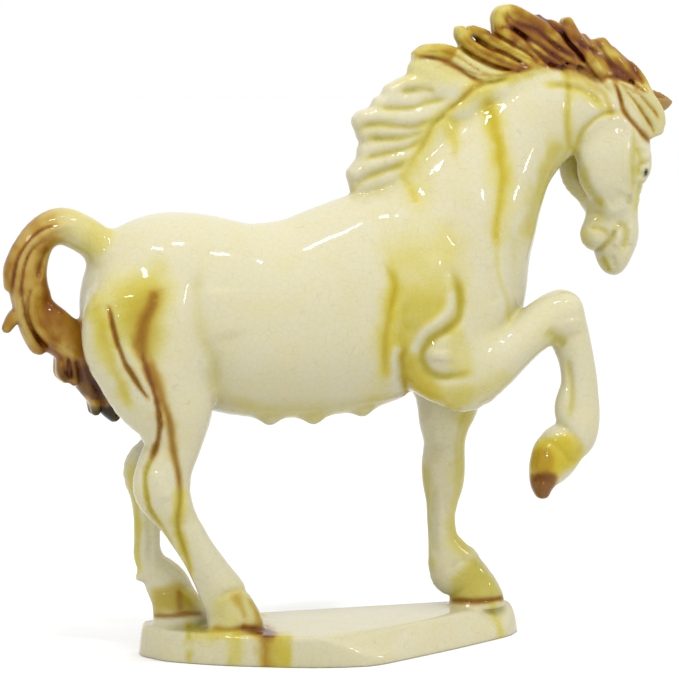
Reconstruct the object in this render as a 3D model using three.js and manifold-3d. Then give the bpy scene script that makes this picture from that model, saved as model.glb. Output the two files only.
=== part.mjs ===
// A glazed earthenware horse in the Tang three-colour style, pawing with its right foreleg,
// cast in one with the low many-sided slab that it stands on.
// Millimetres, +Z up, +X towards the horse's chest, +Y to its left.
// The origin is the middle of the slab's underside.
import * as THREE from 'three';
import { mergeVertices } from 'three/addons/utils/BufferGeometryUtils.js';
import Module from 'manifold-3d';

// Driving dimensions of the slab
const SLAB_LENGTH = 180;
const SLAB_WIDTH = 66;
const SLAB_THICKNESS = 14;
const SLAB_EDGE_ROUND = 3;

// Driving dimension of the horse: from the slab's top to the top of the mane.
// The horse is carved in shares of this height. The tables below are in millimetres at CARVED_HEIGHT,
// with z counted from the slab's top.
const HORSE_HEIGHT = 275;
const CARVED_HEIGHT = 275;
const SHARE = HORSE_HEIGHT / CARVED_HEIGHT;
// The middle of the horse's barrel stands a little off the middle of the slab
const HORSE_OFF_X = 2;
const HORSE_OFF_Y = 3;

const wasm = await Module();
wasm.setup();

// Corners of the slab as shares of half its length and half its width: at its foot, then at its top
const SLAB_CORNERS = [
  [[-0.86, 1], [-0.84, 0.96]], [[-0.98, 0.86], [-0.96, 0.84]], [[-1, 0.54], [-0.99, 0.46]],
  [[-0.91, 0.08], [-0.89, 0]], [[-0.68, -0.38], [-0.67, -0.42]], [[-0.28, -0.87], [-0.29, -0.9]],
  [[-0.05, -1], [-0.07, -1]], [[0.08, -0.97], [0.06, -0.97]], [[0.33, -0.62], [0.31, -0.5]],
  [[0.52, -0.36], [0.48, -0.06]], [[0.7, -0.07], [0.65, 0.22]], [[0.92, 0.32], [0.84, 0.44]],
  [[1, 0.64], [0.94, 0.62]], [[0.98, 0.86], [0.94, 0.84]], [[0.88, 1], [0.84, 0.96]],
];

// Each form below is a row of sections: x, y, z of the centre, then half its depth and half its width.
// Depth lies in the plane of the form's bend, and width across it.
const BARREL = [
  [-108, 0, 146.5, 19.5, 13], [-99, 0, 145.5, 31.5, 22], [-88, 0, 144.5, 37.5, 28], [-73, 0, 142.5, 40, 31],
  [-48, 0, 135.5, 42, 31.5], [-22, 0, 135.5, 44, 32], [0, 0, 140, 46.5, 31], [20, 0, 146, 46, 28.5],
  [42, 0, 146, 42, 26], [58, 0, 146, 33, 20], [68, 0, 148, 20, 13],
];
const NECK = [
  [36, 0, 146, 39, 27], [44.5, 0, 163, 38.5, 26.5], [52, 0.5, 179, 36.3, 25], [60, 2, 193, 33.3, 21.5],
  [70, 4, 206, 29.5, 18], [82, 7, 216, 26, 15.5], [94, 10, 222.5, 23.3, 14.5],
  [107, 13, 225, 20, 13.5], [121, 16.5, 221, 17, 12.5],
];
const SHOULDER = [
  [26, -14, 180, 9, 5], [28, -18.5, 165, 15.5, 8.5], [31, -20.5, 148, 19, 10.5], [36, -20, 128, 20, 12],
  [40, -17, 112, 15, 11],
];
const BREAST = [
  [54, -10, 166, 9, 8], [57, -12.5, 152, 13, 11], [56, -13, 138, 14, 12], [50, -13, 124, 12, 11],
];
const NEAR_HIND_LEG = [
  [-95, -9, 153, 16, 9], [-96, -17, 142, 26, 16], [-94.5, -18.5, 127.5, 28, 17],
  [-90.5, -18.5, 113, 27, 16], [-86, -18.5, 102, 23.5, 14], [-84.5, -18.5, 93, 17.5, 12],
  [-84.5, -18, 84, 13, 10.5], [-87.5, -18, 75, 12, 9.5], [-89, -17.5, 66, 12.5, 9.5],
  [-86, -17, 58.5, 10.5, 9], [-81, -15.5, 50, 8.5, 7], [-74, -14, 38.5, 7.5, 6.5],
  [-66.5, -12, 27, 8.5, 7.5], [-61, -10.5, 18, 10, 8], [-57, -8.5, 10.5, 10.5, 9],
  [-54, -7, 1.5, 12.5, 10], [-54, -7, -3, 12.5, 10],
];
const FAR_HIND_LEG = [
  [-92, 9, 153, 15, 9], [-91.5, 16.5, 141, 22.5, 15.5], [-89.5, 18, 124, 23, 16],
  [-83, 18.5, 108, 21.5, 14.5], [-78, 18.5, 97, 17.5, 13], [-76, 18.5, 87, 14, 11],
  [-77.5, 18, 78, 11.5, 10], [-84, 18, 68, 14, 9.5], [-84.5, 17, 59, 11, 9], [-85.5, 16, 49, 7.5, 7],
  [-85.5, 15, 38, 7, 6.5], [-84.5, 14, 31, 9, 7], [-83, 13.5, 25, 11.5, 8], [-78, 12.5, 18.5, 10, 8],
  [-74.5, 12, 9, 11.5, 9], [-74, 11, 2, 12.5, 10], [-74, 11, -3, 12.5, 10],
];
const FAR_FORELEG = [
  [47, 11, 134, 20, 12], [51, 14, 114, 18.5, 13], [52.5, 16, 96, 15, 12.5], [51, 16.5, 86, 12, 11],
  [51, 17, 76, 9.5, 9.5], [50.5, 17, 65, 10, 9.5], [50.5, 17, 57.5, 9.5, 9], [50, 17, 49, 7.5, 7],
  [49.5, 17, 41, 6.5, 6.5], [50.5, 17, 31, 7, 6.5], [53, 17, 24, 9.5, 7.5], [56.5, 17, 17, 12.5, 8],
  [62.5, 17, 12, 10.5, 8], [65.5, 16.5, 6.5, 11.5, 9], [66.5, 16, 1.5, 13, 9.5],
  [67, 16, -3, 13, 10],
];
const RAISED_ARM = [
  [31, -15, 118, 15, 10], [47, -18, 114, 20.5, 13], [58.5, -19, 116, 15, 12], [67, -19, 120, 11.5, 11],
  [77, -19, 127, 10, 10], [87, -18.5, 133.5, 10.5, 9.5], [93, -18, 136.5, 9.5, 9.5],
];
const RAISED_CANNON = [
  [93.5, -18, 136.5, 9.5, 9], [97.5, -18, 126, 9, 8.5], [101, -18, 115, 8, 7.5],
  [102.5, -18, 104, 8.5, 7], [101.5, -18, 94.5, 10.5, 7], [102, -18, 87.5, 10, 8],
  [100.5, -18, 81, 10, 8], [96.5, -18, 77.5, 9.5, 8],
];
const RAISED_HOOF = [
  [94, -18, 77, 10, 8], [91.5, -18, 72.5, 11, 9], [89, -18, 68.5, 9.5, 9.5],
  [86.5, -18, 64.5, 7, 9.5], [85, -18, 60, 5, 7.5], [85, -18, 56.5, 3.5, 5.5],
];

// The head has its own frame: forwards, to its left and upwards from its middle, turned to the horse's left
const HEAD_PLACE = [133.9, 20, 200.5];
const HEAD_TURN = THREE.MathUtils.degToRad(13);
const SKULL = [
  [-3, 0, 30, 10, 9.5], [1, 0, 21, 15, 12], [2, 0, 11, 16.3, 12.5], [1.5, 0, 3, 15.8, 12.5],
  [0.3, 0, -5, 14.8, 11.5], [-0.7, 0, -12, 14.2, 10], [-0.8, 0, -19, 13.2, 8.8], [0, 0, -26, 12.9, 8.8],
  [0.7, 0, -33, 12.2, 9.3], [0.5, 0, -39.5, 9, 8.6], [0.3, 0, -44, 6.6, 7.2], [0.6, 0, -46.5, 4.5, 5],
];
const JOWL = [
  [-9.5, -7, 16, 8, 3.5], [-10.4, -8, 11, 12.8, 5], [-10.5, -8.5, 4, 14.4, 6], [-9.6, -8.2, -4, 13, 5.6],
  [-6.5, -7.5, -11.5, 9.3, 4.8], [-4, -6.8, -18, 7, 4],
];
const BROW = [[8, -9, 8, 3.5, 3], [8.5, -9.6, 1, 5.3, 4.2], [8, -9, -5, 4, 3.3]];
const CHIN = [[-8.5, 0, -25, 5.5, 5], [-10.6, 0, -31.5, 6.6, 6.2], [-9.5, 0, -35, 4.6, 5]];
const EAR = [[12, 6, 27, 5, 4], [22, 6.5, 28.5, 6.5, 4], [29, 7, 29, 4.5, 3], [38, 7.5, 29, 1, 1]];

const TAIL = [
  [-98, 0, 161, 8, 8], [-109, 0, 167, 8, 9], [-118, 0, 173.5, 8, 8.5], [-128, 0, 177.5, 8, 8.5],
  [-137, 0, 173.5, 7.5, 8.5], [-142.5, 0, 163, 8.5, 8.5], [-142.5, 0, 151.5, 8.5, 8.5],
  [-138.5, 0, 140.5, 9, 8.5], [-131.5, 0, 133, 9.5, 8.5], [-124.5, 0, 126.5, 8.5, 8.5],
  [-119, 0, 117, 8, 8], [-113, 0, 107.5, 7, 7.5], [-108, 0, 100, 5, 6],
];
// Locks that curl away from the tail: x and z at the root and at the tip, bow and half depth
const TAIL_LOCKS = [
  [-145, 168, -150.5, 151.5, -0.6, 3.8], [-145.5, 142, -139, 126, 0.8, 4.4],
  [-143, 140, -152, 133.5, -1, 3.8], [-123, 125, -126.5, 113, 1.6, 5.2],
  [-119.5, 119, -119, 110.5, 0.6, 5], [-116, 113.5, -113.5, 99, 0.5, 4.6],
  [-110, 105, -106, 95.5, 0.4, 5.2],
];

// The mane is a crest of hair that stands along the top of the neck: x, z and half its depth
const MANE_CREST = [
  [14, 189, 10], [15, 200, 12], [20, 212, 13], [28, 223.5, 13], [40, 233, 12.5], [53, 241, 13.5],
  [67, 248, 12.5], [84, 253, 12.5], [101, 253, 11], [117, 248, 10], [130, 241, 9], [141, 233, 6],
];
const MANE_THICKNESS = 10;
// It turns to the horse's left in front of this x, by this much for each millimetre, up to the poll
const CREST_TURN_X = 55;
const CREST_TURN_SLOPE = 0.24;
const CREST_TURN_MOST = 18;
// How far a lock's middle stands off the crest's own middle, at its root and at its tip
const LOCK_OFF_ROOT = 5.5;
const LOCK_OFF_TIP = 1;
// Locks of the mane on the near side: x and z at the root and at the tip, bow and half depth
const MANE_LOCKS = [
  [27, 198, 1.5, 191.5, 0.7, 4.4], [29, 206, 1, 197.5, 0.6, 4.2], [36, 213, 6.5, 207, 1.2, 3.8],
  [40, 219, 4, 216.5, 1.1, 3.4], [47, 228, 4, 221.5, 0.7, 3.9], [50, 232, 14, 229.5, -1.7, 4.8],
  [55, 234, 31, 239, 0.7, 3], [62, 237, 31.5, 246, 0.8, 5], [69, 239, 36, 252.5, -1.6, 4.6],
  [77, 243, 52, 262, 1.6, 4], [84, 244, 62, 257, 0.3, 3.4], [89, 246, 64, 259, -1.1, 3.4],
  [96, 246, 70, 261, -0.5, 3.4], [107, 247, 69.5, 270, 0.4, 4.6], [112, 248, 76.5, 271.5, -0.3, 4.2],
  [116, 248, 88, 267.5, -0.6, 3.6], [120, 247, 97, 267.5, 0, 3.4], [125, 243, 109, 265.5, -0.2, 3.6],
  [128, 242, 116, 259.5, -0.3, 3.6], [131, 242, 123.5, 257.5, 0.5, 3.6], [139, 240, 128, 257.5, -0.8, 4],
  [146, 235, 134, 253.5, -1.4, 4.2], [132, 238, 148, 215.5, 0.3, 4.2], [135, 238, 153.5, 216.5, 1.9, 3.5],
  [139, 239, 155, 220.5, 2.7, 2.8],
];

const SIDEWAYS = new THREE.Vector3(0, 1, 0);

// Sections along a smooth line through a form's rows, so many for each row
function sectionsAlong(rows, perRow) {
  const steps = (rows.length - 1) * perRow;
  const places = rows.map(([x, y, z]) => new THREE.Vector3(x, y, z));
  const sizes = rows.map(([, , , depth, width]) => new THREE.Vector3(depth, width, 0));
  const line = new THREE.CatmullRomCurve3(places, false, 'catmullrom', 0.5);
  const halves = new THREE.CatmullRomCurve3(sizes, false, 'catmullrom', 0.5);
  return Array.from({ length: steps + 1 }, (_, i) => {
    const t = i / steps;
    const half = halves.getPoint(t);
    return { centre: line.getPoint(t), along: line.getTangent(t), depth: half.x, width: half.y };
  });
}

// The shrinking sections that round off an end
function roundEnd(section, rings, sign) {
  const reach = Math.min(section.depth, section.width) * sign;
  return Array.from({ length: rings }, (_, i) => {
    const turn = ((i + 1) / (rings + 1)) * Math.PI / 2;
    return {
      ...section,
      centre: section.centre.clone().addScaledVector(section.along, reach * Math.sin(turn)),
      depth: section.depth * Math.cos(turn),
      width: section.width * Math.cos(turn),
    };
  });
}

// A closed body with elliptical sections; its ends are round, or flat where the form is cut off
function sweep(rows, { sides, perRow = 1, rings = 1, flatEnd = false }) {
  const sections = sectionsAlong(rows, perRow);
  const first = sections[0];
  const last = sections[sections.length - 1];
  const all = [
    ...roundEnd(first, rings, -1).reverse(), ...sections, ...(flatEnd ? [] : roundEnd(last, rings, 1)),
  ];
  const positions = [];
  for (const { centre, along, depth, width } of all) {
    const side = SIDEWAYS.clone().addScaledVector(along, -SIDEWAYS.dot(along)).normalize();
    const deep = new THREE.Vector3().crossVectors(side, along);
    for (let j = 0; j < sides; j += 1) {
      const angle = (j / sides) * Math.PI * 2;
      const corner = centre.clone().addScaledVector(deep, depth * Math.cos(angle));
      positions.push(...corner.addScaledVector(side, width * Math.sin(angle)).toArray());
    }
  }
  const startTip = first.centre.clone().addScaledVector(first.along, -Math.min(first.depth, first.width));
  const endReach = flatEnd ? 0 : Math.min(last.depth, last.width);
  const endTip = last.centre.clone().addScaledVector(last.along, endReach);
  positions.push(...startTip.toArray(), ...endTip.toArray());
  const index = [];
  const start = all.length * sides;
  const lastRing = (all.length - 1) * sides;
  for (let j = 0; j < sides; j += 1) {
    const next = (j + 1) % sides;
    index.push(start, next, j, start + 1, lastRing + j, lastRing + next);
    for (let ring = 0; ring < lastRing; ring += sides) {
      const a = ring + j;
      const b = ring + next;
      index.push(a, b, b + sides, a, b + sides, a + sides);
    }
  }
  const geometry = new THREE.BufferGeometry();
  geometry.setAttribute('position', new THREE.Float32BufferAttribute(positions, 3));
  geometry.setIndex(index);
  return geometry;
}

function solid(geometry) {
  const merged = mergeVertices(geometry, 1e-4);
  return new wasm.Manifold(new wasm.Mesh({
    numProp: 3,
    vertProperties: new Float32Array(merged.attributes.position.array),
    triVerts: new Uint32Array(merged.index.array),
  }));
}

// From the horse's tables to its real size and its place on the slab
const onSlab = new THREE.Matrix4().makeTranslation(HORSE_OFF_X, HORSE_OFF_Y, SLAB_THICKNESS)
  .multiply(new THREE.Matrix4().makeScale(SHARE, SHARE, SHARE));
const headFrame = new THREE.Matrix4().makeTranslation(...HEAD_PLACE)
  .multiply(new THREE.Matrix4().makeRotationZ(HEAD_TURN));

function form(rows, detail) {
  return solid(sweep(rows, detail).applyMatrix4(onSlab));
}

function headForm(rows, detail) {
  return solid(sweep(rows, detail).applyMatrix4(headFrame).applyMatrix4(onSlab));
}

function mirrored(rows) {
  return rows.map(([x, y, ...rest]) => [x, -y, ...rest]);
}

// The slab's foot and top differ a little, so its near side leans; its edges are rounded by thick glaze
function slab() {
  const levels = [[0, SLAB_EDGE_ROUND * 0.4], [SLAB_EDGE_ROUND * 0.4, 0],
    [SLAB_THICKNESS - SLAB_EDGE_ROUND, 0], [SLAB_THICKNESS - SLAB_EDGE_ROUND * 0.3, SLAB_EDGE_ROUND * 0.3],
    [SLAB_THICKNESS, SLAB_EDGE_ROUND]];
  const count = SLAB_CORNERS.length;
  const positions = [];
  for (const [z, inset] of levels) {
    const rise = z / SLAB_THICKNESS;
    for (const [foot, top] of SLAB_CORNERS) {
      const x = THREE.MathUtils.lerp(foot[0], top[0], rise) * (SLAB_LENGTH / 2 - inset);
      const y = THREE.MathUtils.lerp(foot[1], top[1], rise) * (SLAB_WIDTH / 2 - inset);
      positions.push(x, y, z);
    }
  }
  positions.push(0, 0, 0, 0, 0, SLAB_THICKNESS);
  const under = levels.length * count;
  const lastRing = (levels.length - 1) * count;
  const index = [];
  for (let j = 0; j < count; j += 1) {
    const next = (j + 1) % count;
    index.push(under, next, j, under + 1, lastRing + j, lastRing + next);
    for (let ring = 0; ring < lastRing; ring += count) {
      const a = ring + j;
      const b = ring + next;
      index.push(a, b, b + count, a, b + count, a + count);
    }
  }
  const geometry = new THREE.BufferGeometry();
  geometry.setAttribute('position', new THREE.Float32BufferAttribute(positions, 3));
  geometry.setIndex(index);
  return solid(geometry);
}

// The mane stands over the neck, which turns to the left towards the head
function crestY(x) {
  return THREE.MathUtils.clamp((x - CREST_TURN_X) * CREST_TURN_SLOPE, 0, CREST_TURN_MOST);
}

// A lock runs from its root to its tip in a shallow bow, off to one side of the hair it grows from
function lock([rootX, rootZ, tipX, tipZ, bow, half], sideways) {
  const length = Math.hypot(tipX - rootX, tipZ - rootZ);
  return [[0, 0.8], [0.35, 1], [0.75, 0.95], [1, 0.6]].map(([t, swell]) => {
    const arch = bow * 4 * t * (1 - t) / length;
    const x = THREE.MathUtils.lerp(rootX, tipX, t) - (tipZ - rootZ) * arch;
    const z = THREE.MathUtils.lerp(rootZ, tipZ, t) + (tipX - rootX) * arch;
    return [x, sideways(x, t), z, half * swell, half * swell];
  });
}

const crest = MANE_CREST.map(([x, z, half]) => [x, crestY(x), z, half, MANE_THICKNESS / 2]);
const nearMane = (x, t) => crestY(x) - THREE.MathUtils.lerp(LOCK_OFF_ROOT, LOCK_OFF_TIP, t);
const farMane = (x, t) => crestY(x) + THREE.MathUtils.lerp(LOCK_OFF_ROOT, LOCK_OFF_TIP, t);
const onTail = () => 0;
const LOCK = { sides: 5 };
const LIMB = { sides: 10 };
const FEATURE = { sides: 8 };

const pieces = [
  slab(),
  form(BARREL, { sides: 16, rings: 2 }),
  form(NECK, { sides: 12 }),
  form(SHOULDER, LIMB), form(mirrored(SHOULDER), LIMB),
  form(BREAST, LIMB), form(mirrored(BREAST), LIMB),
  form(NEAR_HIND_LEG, { ...LIMB, flatEnd: true }), form(FAR_HIND_LEG, { ...LIMB, flatEnd: true }),
  form(FAR_FORELEG, { ...LIMB, flatEnd: true }),
  form(RAISED_ARM, LIMB), form(RAISED_CANNON, LIMB), form(RAISED_HOOF, LIMB),
  headForm(SKULL, { sides: 12 }), headForm(JOWL, LIMB), headForm(mirrored(JOWL), LIMB),
  headForm(BROW, FEATURE), headForm(mirrored(BROW), FEATURE),
  headForm(CHIN, FEATURE), headForm(EAR, FEATURE),
  form(TAIL, { ...FEATURE, perRow: 2 }),
  ...TAIL_LOCKS.map((row) => form(lock(row, onTail), LOCK)),
  form(crest, FEATURE),
  ...MANE_LOCKS.map((row) => form(lock(row, nearMane), LOCK)),
  ...MANE_LOCKS.filter((_, i) => i % 3 === 1).map((row) => form(lock(row, farMane), LOCK)),
];

// Horse and slab are cast as one
const mesh = pieces.reduce((whole, piece) => whole.add(piece)).getMesh();
const geometry = new THREE.BufferGeometry();
geometry.setAttribute('position', new THREE.Float32BufferAttribute(mesh.vertProperties, mesh.numProp));
geometry.setIndex(Array.from(mesh.triVerts));
geometry.computeVertexNormals();
const glaze = new THREE.MeshStandardMaterial({ color: 0xe9e2bd, roughness: 0.12, metalness: 0 });
const horse = new THREE.Mesh(geometry, glaze);
horse.name = 'glazed_horse';

const figure = new THREE.Group();
figure.add(horse);
export default figure;
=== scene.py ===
"""A glazed earthenware tomb horse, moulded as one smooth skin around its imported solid.

Tables of forms are in millimetres in the horse's own frame: x towards the chest, y to the horse's left,
z up from the top of the slab. The mesh itself is in metres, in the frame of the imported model.
"""
import itertools
import math

import bmesh
import bpy
import numpy as np
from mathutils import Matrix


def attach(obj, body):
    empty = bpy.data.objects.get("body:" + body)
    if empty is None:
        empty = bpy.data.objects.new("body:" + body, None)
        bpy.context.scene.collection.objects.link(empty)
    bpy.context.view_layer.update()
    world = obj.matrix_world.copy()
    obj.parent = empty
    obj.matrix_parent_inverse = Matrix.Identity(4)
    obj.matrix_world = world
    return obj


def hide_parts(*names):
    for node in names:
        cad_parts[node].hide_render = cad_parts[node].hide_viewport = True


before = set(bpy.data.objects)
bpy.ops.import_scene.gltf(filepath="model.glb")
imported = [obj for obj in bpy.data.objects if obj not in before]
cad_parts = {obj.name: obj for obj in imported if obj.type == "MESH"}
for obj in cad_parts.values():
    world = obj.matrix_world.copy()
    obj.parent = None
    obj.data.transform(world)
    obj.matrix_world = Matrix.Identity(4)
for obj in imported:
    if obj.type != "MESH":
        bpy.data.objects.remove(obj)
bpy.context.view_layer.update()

MM = 0.001
# From the horse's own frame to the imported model's
HORSE_PLACE = np.array([2.0, 3.0, 14.0])
SLAB_LENGTH = 180.0
SLAB_WIDTH = 66.0
SLAB_THICKNESS = 14.0
SLAB_EDGE_ROUND = 1.7
# The grid on which the skin is worked out, the triangles that it is thinned to, and the longest edge kept
GRID = 0.95
MOST_TRIANGLES = 176000
LONGEST_EDGE = 5.0
# The hooves end just inside the slab
HOOF_FOOT = -1.0
HOOF_FILLET = 1.6

# Corners of the slab as shares of half its length and half its width: at its foot, then at its top
SLAB_CORNERS = [
    [[-0.86, 1], [-0.84, 0.96]], [[-0.98, 0.86], [-0.96, 0.84]], [[-1, 0.54], [-0.99, 0.46]],
    [[-0.91, 0.08], [-0.89, 0]], [[-0.68, -0.38], [-0.67, -0.42]], [[-0.28, -0.87], [-0.29, -0.9]],
    [[-0.05, -1], [-0.07, -1]], [[0.08, -0.97], [0.06, -0.97]], [[0.33, -0.62], [0.31, -0.5]],
    [[0.52, -0.36], [0.49, -0.18]], [[0.7, -0.07], [0.68, 0.02]], [[0.92, 0.32], [0.9, 0.38]], [[1, 0.64],
    [0.975, 0.65]], [[0.98, 0.86], [0.95, 0.84]], [[0.88, 1], [0.85, 0.96]],
]

# Each form is a row of sections: x, y, z of the centre, then half its depth and half its width
BARREL = [
    [-105.7, 0, 146.5, 19.5, 12.5], [-98.5, 0, 145.5, 31, 21.5], [-88, 0, 144.5, 37.5, 28],
    [-73, 0, 142.5, 40, 31], [-48, 0, 135.5, 42, 31.5], [-22, 0, 135.5, 44, 32], [0, 0, 140, 46.5, 31],
    [20, 0, 146, 46, 28.5], [42, 0, 146, 42, 26], [58, 0, 146, 33, 20], [68, 0, 148, 20, 13],
]
NECK = [
    [36, 0, 146, 39, 27], [44.5, 0, 163, 38.5, 26.5], [52, 0.5, 179, 36.3, 25], [60, 2, 193, 33.3, 21.5],
    [70, 4, 206, 29.5, 18], [82, 7, 216, 26, 15.5], [94, 10, 222.5, 23.3, 14.5], [107, 13, 225, 20, 13.5],
    [121, 16.5, 221, 17, 12.5],
]
SHOULDER = [
    [26, -14, 180, 9, 5], [28, -18.5, 165, 15.5, 8.5], [31, -20.5, 148, 19, 10.5], [36, -20, 128, 20, 12],
    [40, -17, 112, 15, 11],
]
BREAST = [[54, -10, 166, 9, 8], [57, -12.5, 152, 13, 11], [56, -13, 138, 14, 12], [50, -13, 124, 12, 11]]
NEAR_HIND_LEG = [
    [-95, -9, 153, 16, 9], [-96, -17, 142, 26, 16], [-94.5, -18.5, 127.5, 28, 17],
    [-91, -18.5, 113, 23.5, 16], [-85.5, -18.5, 102, 19.5, 14], [-84, -18.5, 93, 15.5, 12],
    [-84, -18, 84, 12, 10.5], [-87.5, -18, 75, 12, 9.5], [-89, -17.5, 66, 12.5, 9.5],
    [-86, -17, 58.5, 10.5, 9], [-81, -15.5, 50, 8.5, 7], [-74, -14, 38.5, 7.5, 6.5],
    [-66.5, -12, 27, 8.5, 7.5], [-61, -10.5, 18, 10, 8], [-57, -8.5, 10.5, 10.5, 9],
    [-54, -7, 1.5, 12.5, 10], [-54, -7, -3, 12.5, 10],
]
FAR_HIND_LEG = [
    [-92, 9, 153, 15, 9], [-91.5, 16.5, 141, 22.5, 15.5], [-89.5, 18, 124, 23, 16],
    [-83, 18.5, 108, 21.5, 14.5], [-78, 18.5, 97, 17.5, 13], [-76, 18.5, 87, 14, 11],
    [-77.5, 18, 78, 11.5, 10], [-84, 18, 68, 14, 9.5], [-85, 17, 59, 10.5, 9], [-86.8, 16, 49, 7.2, 7],
    [-88, 15, 38, 6, 6.2], [-87.8, 14, 31, 6.6, 6.5], [-84.5, 13.5, 25, 7.4, 7.2],
    [-80, 12.5, 18.5, 9.5, 8], [-77, 12, 12, 10, 8.5], [-75, 11.5, 6, 11.5, 9.5], [-74, 11, 2, 12.5, 10],
    [-74, 11, -3, 12.5, 10],
]
FAR_FORELEG = [
    [47, 11, 134, 20, 12], [51, 14, 114, 18.5, 13], [52.5, 16, 96, 15, 12.5], [51, 16.5, 86, 12, 11],
    [51, 17, 76, 9.5, 9.5], [50.5, 17, 65, 10, 9.5], [50.5, 17, 57.5, 9.5, 9], [50, 17, 49, 7.5, 7],
    [49.5, 17, 41, 6.5, 6.5], [50.5, 17, 31, 7, 6.5], [53, 17, 24, 9.5, 7.5], [56.5, 17, 17, 12.5, 8],
    [62.5, 17, 12, 10.5, 8], [65.5, 16.5, 6.5, 11.5, 9], [66.5, 16, 1.5, 13, 9.5], [67, 16, -3, 13, 10],
]
# The crisp corners at the back of the far fetlocks
FAR_SPURS = [
    [[-85, 13, 27, 6, 5], [-89, 13, 23.5, 4, 4.5], [-92.5, 13, 21.5, 1.4, 3]],
    [[52, 16.5, 24, 6, 5], [47.5, 16.5, 20.5, 3.6, 4], [45.6, 16.5, 18.8, 1.2, 2.6]],
]
RAISED_ARM = [
    [31, -15, 118, 15, 10], [47, -18, 114, 20.5, 13], [58.5, -19, 116, 15, 12], [67, -19, 120, 11.5, 11],
    [77, -19, 127, 10, 10], [87, -18.5, 133.5, 10.5, 9.5], [93, -18, 136.5, 9.5, 9.5],
]
RAISED_CANNON = [
    [93.5, -18, 136.5, 9.5, 9], [97.5, -18, 126, 9, 8.5], [101, -18, 115, 8, 7.5],
    [102.5, -18, 104, 8.5, 7], [101.5, -18, 94.5, 10.5, 7], [102, -18, 87.5, 10, 8],
    [100.5, -18, 81, 10, 8], [96.5, -18, 77.5, 9.5, 8],
]
RAISED_HOOF = [
    [94, -18, 77, 10, 8], [91.5, -18, 72.5, 11, 9], [89, -18, 68.5, 9.5, 9.5], [86.5, -18, 64.5, 7, 9.5],
    [85, -18, 60, 5, 7.5], [85, -18, 56.5, 3.5, 5.5],
]
# Small drops that hang under the belly
DROPS = [[-37.5, 92.5, 90], [-17.5, 92, 90.5], [5, 95, 92.5]]

# The head has its own frame: forwards, to its left and upwards from its middle, turned to the horse's left
HEAD_PLACE = np.array([133.9, 20.0, 200.5])
HEAD_TURN = math.radians(13)
SKULL = [
    [-3, 0, 30, 10, 9.5], [1, 0, 21, 15, 12], [2, 0, 11, 16.3, 12.5], [1.5, 0, 3, 15.9, 12.5],
    [0.6, 0, -5, 15.1, 11.5], [-0.2, 0, -12, 14.5, 10], [-0.6, 0, -19, 13.4, 8.8], [0, 0, -26, 12.9, 8.8],
    [0.7, 0, -33, 12.2, 9.3], [0.5, 0, -39.5, 9, 8.6], [0.3, 0, -44, 6.6, 7.2], [0.6, 0, -46.5, 4.5, 5],
]
JOWL = [
    [-9.5, -7, 16, 8, 3.5], [-10.4, -8, 11, 12.8, 5], [-10.5, -8.5, 4, 14.4, 6],
    [-9.6, -8.2, -4, 13, 5.6], [-6.5, -7.5, -11.5, 9.3, 4.8], [-4, -6.8, -18, 7, 4],
]
THROAT = [
    [-9.5, -5, 17, 8, 6.5], [-10.4, -5.6, 11, 12.8, 7.6], [-10.5, -5.8, 4, 14.3, 8],
    [-9.6, -5.6, -4, 13, 7.6], [-6.5, -4.8, -11.5, 9.4, 6.8], [-4, -4, -18, 7, 5.6],
]
BROW = [[7, -8, 9, 3, 3], [9, -9, 3.5, 4.6, 3.8], [9.7, -9.2, -1.5, 4.4, 3.6], [8.9, -8.6, -5.5, 3.4, 3]]
CHIN = [[-8.5, 0, -25, 5.5, 5], [-10.6, 0, -31.5, 6.6, 6.2], [-9.5, 0, -35, 4.6, 5]]
EAR = [
    [12, 6, 27, 5, 4], [22, 6.5, 28.5, 6.5, 4], [29, 7, 28.4, 5.6, 3.2], [34, 7.2, 28.2, 3.6, 2.2],
    [37.8, 7.5, 28.6, 1.2, 1],
]
EAR_HOLLOW = [[19, 4, 33, 2, 1.6], [26, 5, 33, 2.6, 1.8], [33, 6, 31, 1, 0.8]]
EYEBALL = [[9.9, -11.2, -1.4, 2.2, 2.2], [9.7, -11.1, -3, 2.2, 2.2]]

TAIL = [
    [-98, 0, 161, 8, 8], [-109, 0, 167, 8, 9], [-118, 0, 173.5, 8, 8.5], [-128, 0, 177.5, 8, 8.5],
    [-137, 0, 173.5, 7.5, 8.5], [-142.5, 0, 163, 8.5, 8.5], [-142.5, 0, 151.5, 8.5, 8.5],
    [-138.5, 0, 140.5, 9, 8.5], [-131.5, 0, 133, 9.5, 8.5], [-124.5, 0, 126.5, 8.5, 8.5],
    [-119, 0, 117, 8, 8], [-113, 0, 107.5, 7, 7.5], [-108, 0, 100, 5, 6],
]
# Locks of the tail: how far they stand off its middle, half their depth, then their way in x and z
TAIL_LOCKS = [
    [0, 3.8, [(-146, 168), (-149.5, 160), (-150.5, 152.5)]],
    [0, 3.6, [(-144, 146), (-143.5, 136), (-140, 127), (-138, 125)]],
    [0, 3.2, [(-143, 142), (-148.5, 139.5), (-152, 134.5)]],
    [-3, 3, [(-129, 127), (-128.5, 120), (-129, 115), (-127.5, 112.5)]],
    [-4, 2.6, [(-126, 125), (-124.5, 116), (-124, 111)]],
    [-3, 2.8, [(-122, 122), (-120.5, 115), (-120, 110)]],
    [-3, 3, [(-119, 117), (-116.5, 109), (-115, 103), (-114.5, 98)]],
    [-4, 2.6, [(-115, 114), (-112, 107), (-110.5, 101)]],
    [0, 4.2, [(-111, 105), (-107.5, 98.5), (-106, 95.5)]],
]
# The way of the orange panel inside the tail's bend, in x and z
TAIL_PANEL = [(-131, 155), (-131, 146), (-124, 134), (-116, 126)]

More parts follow.
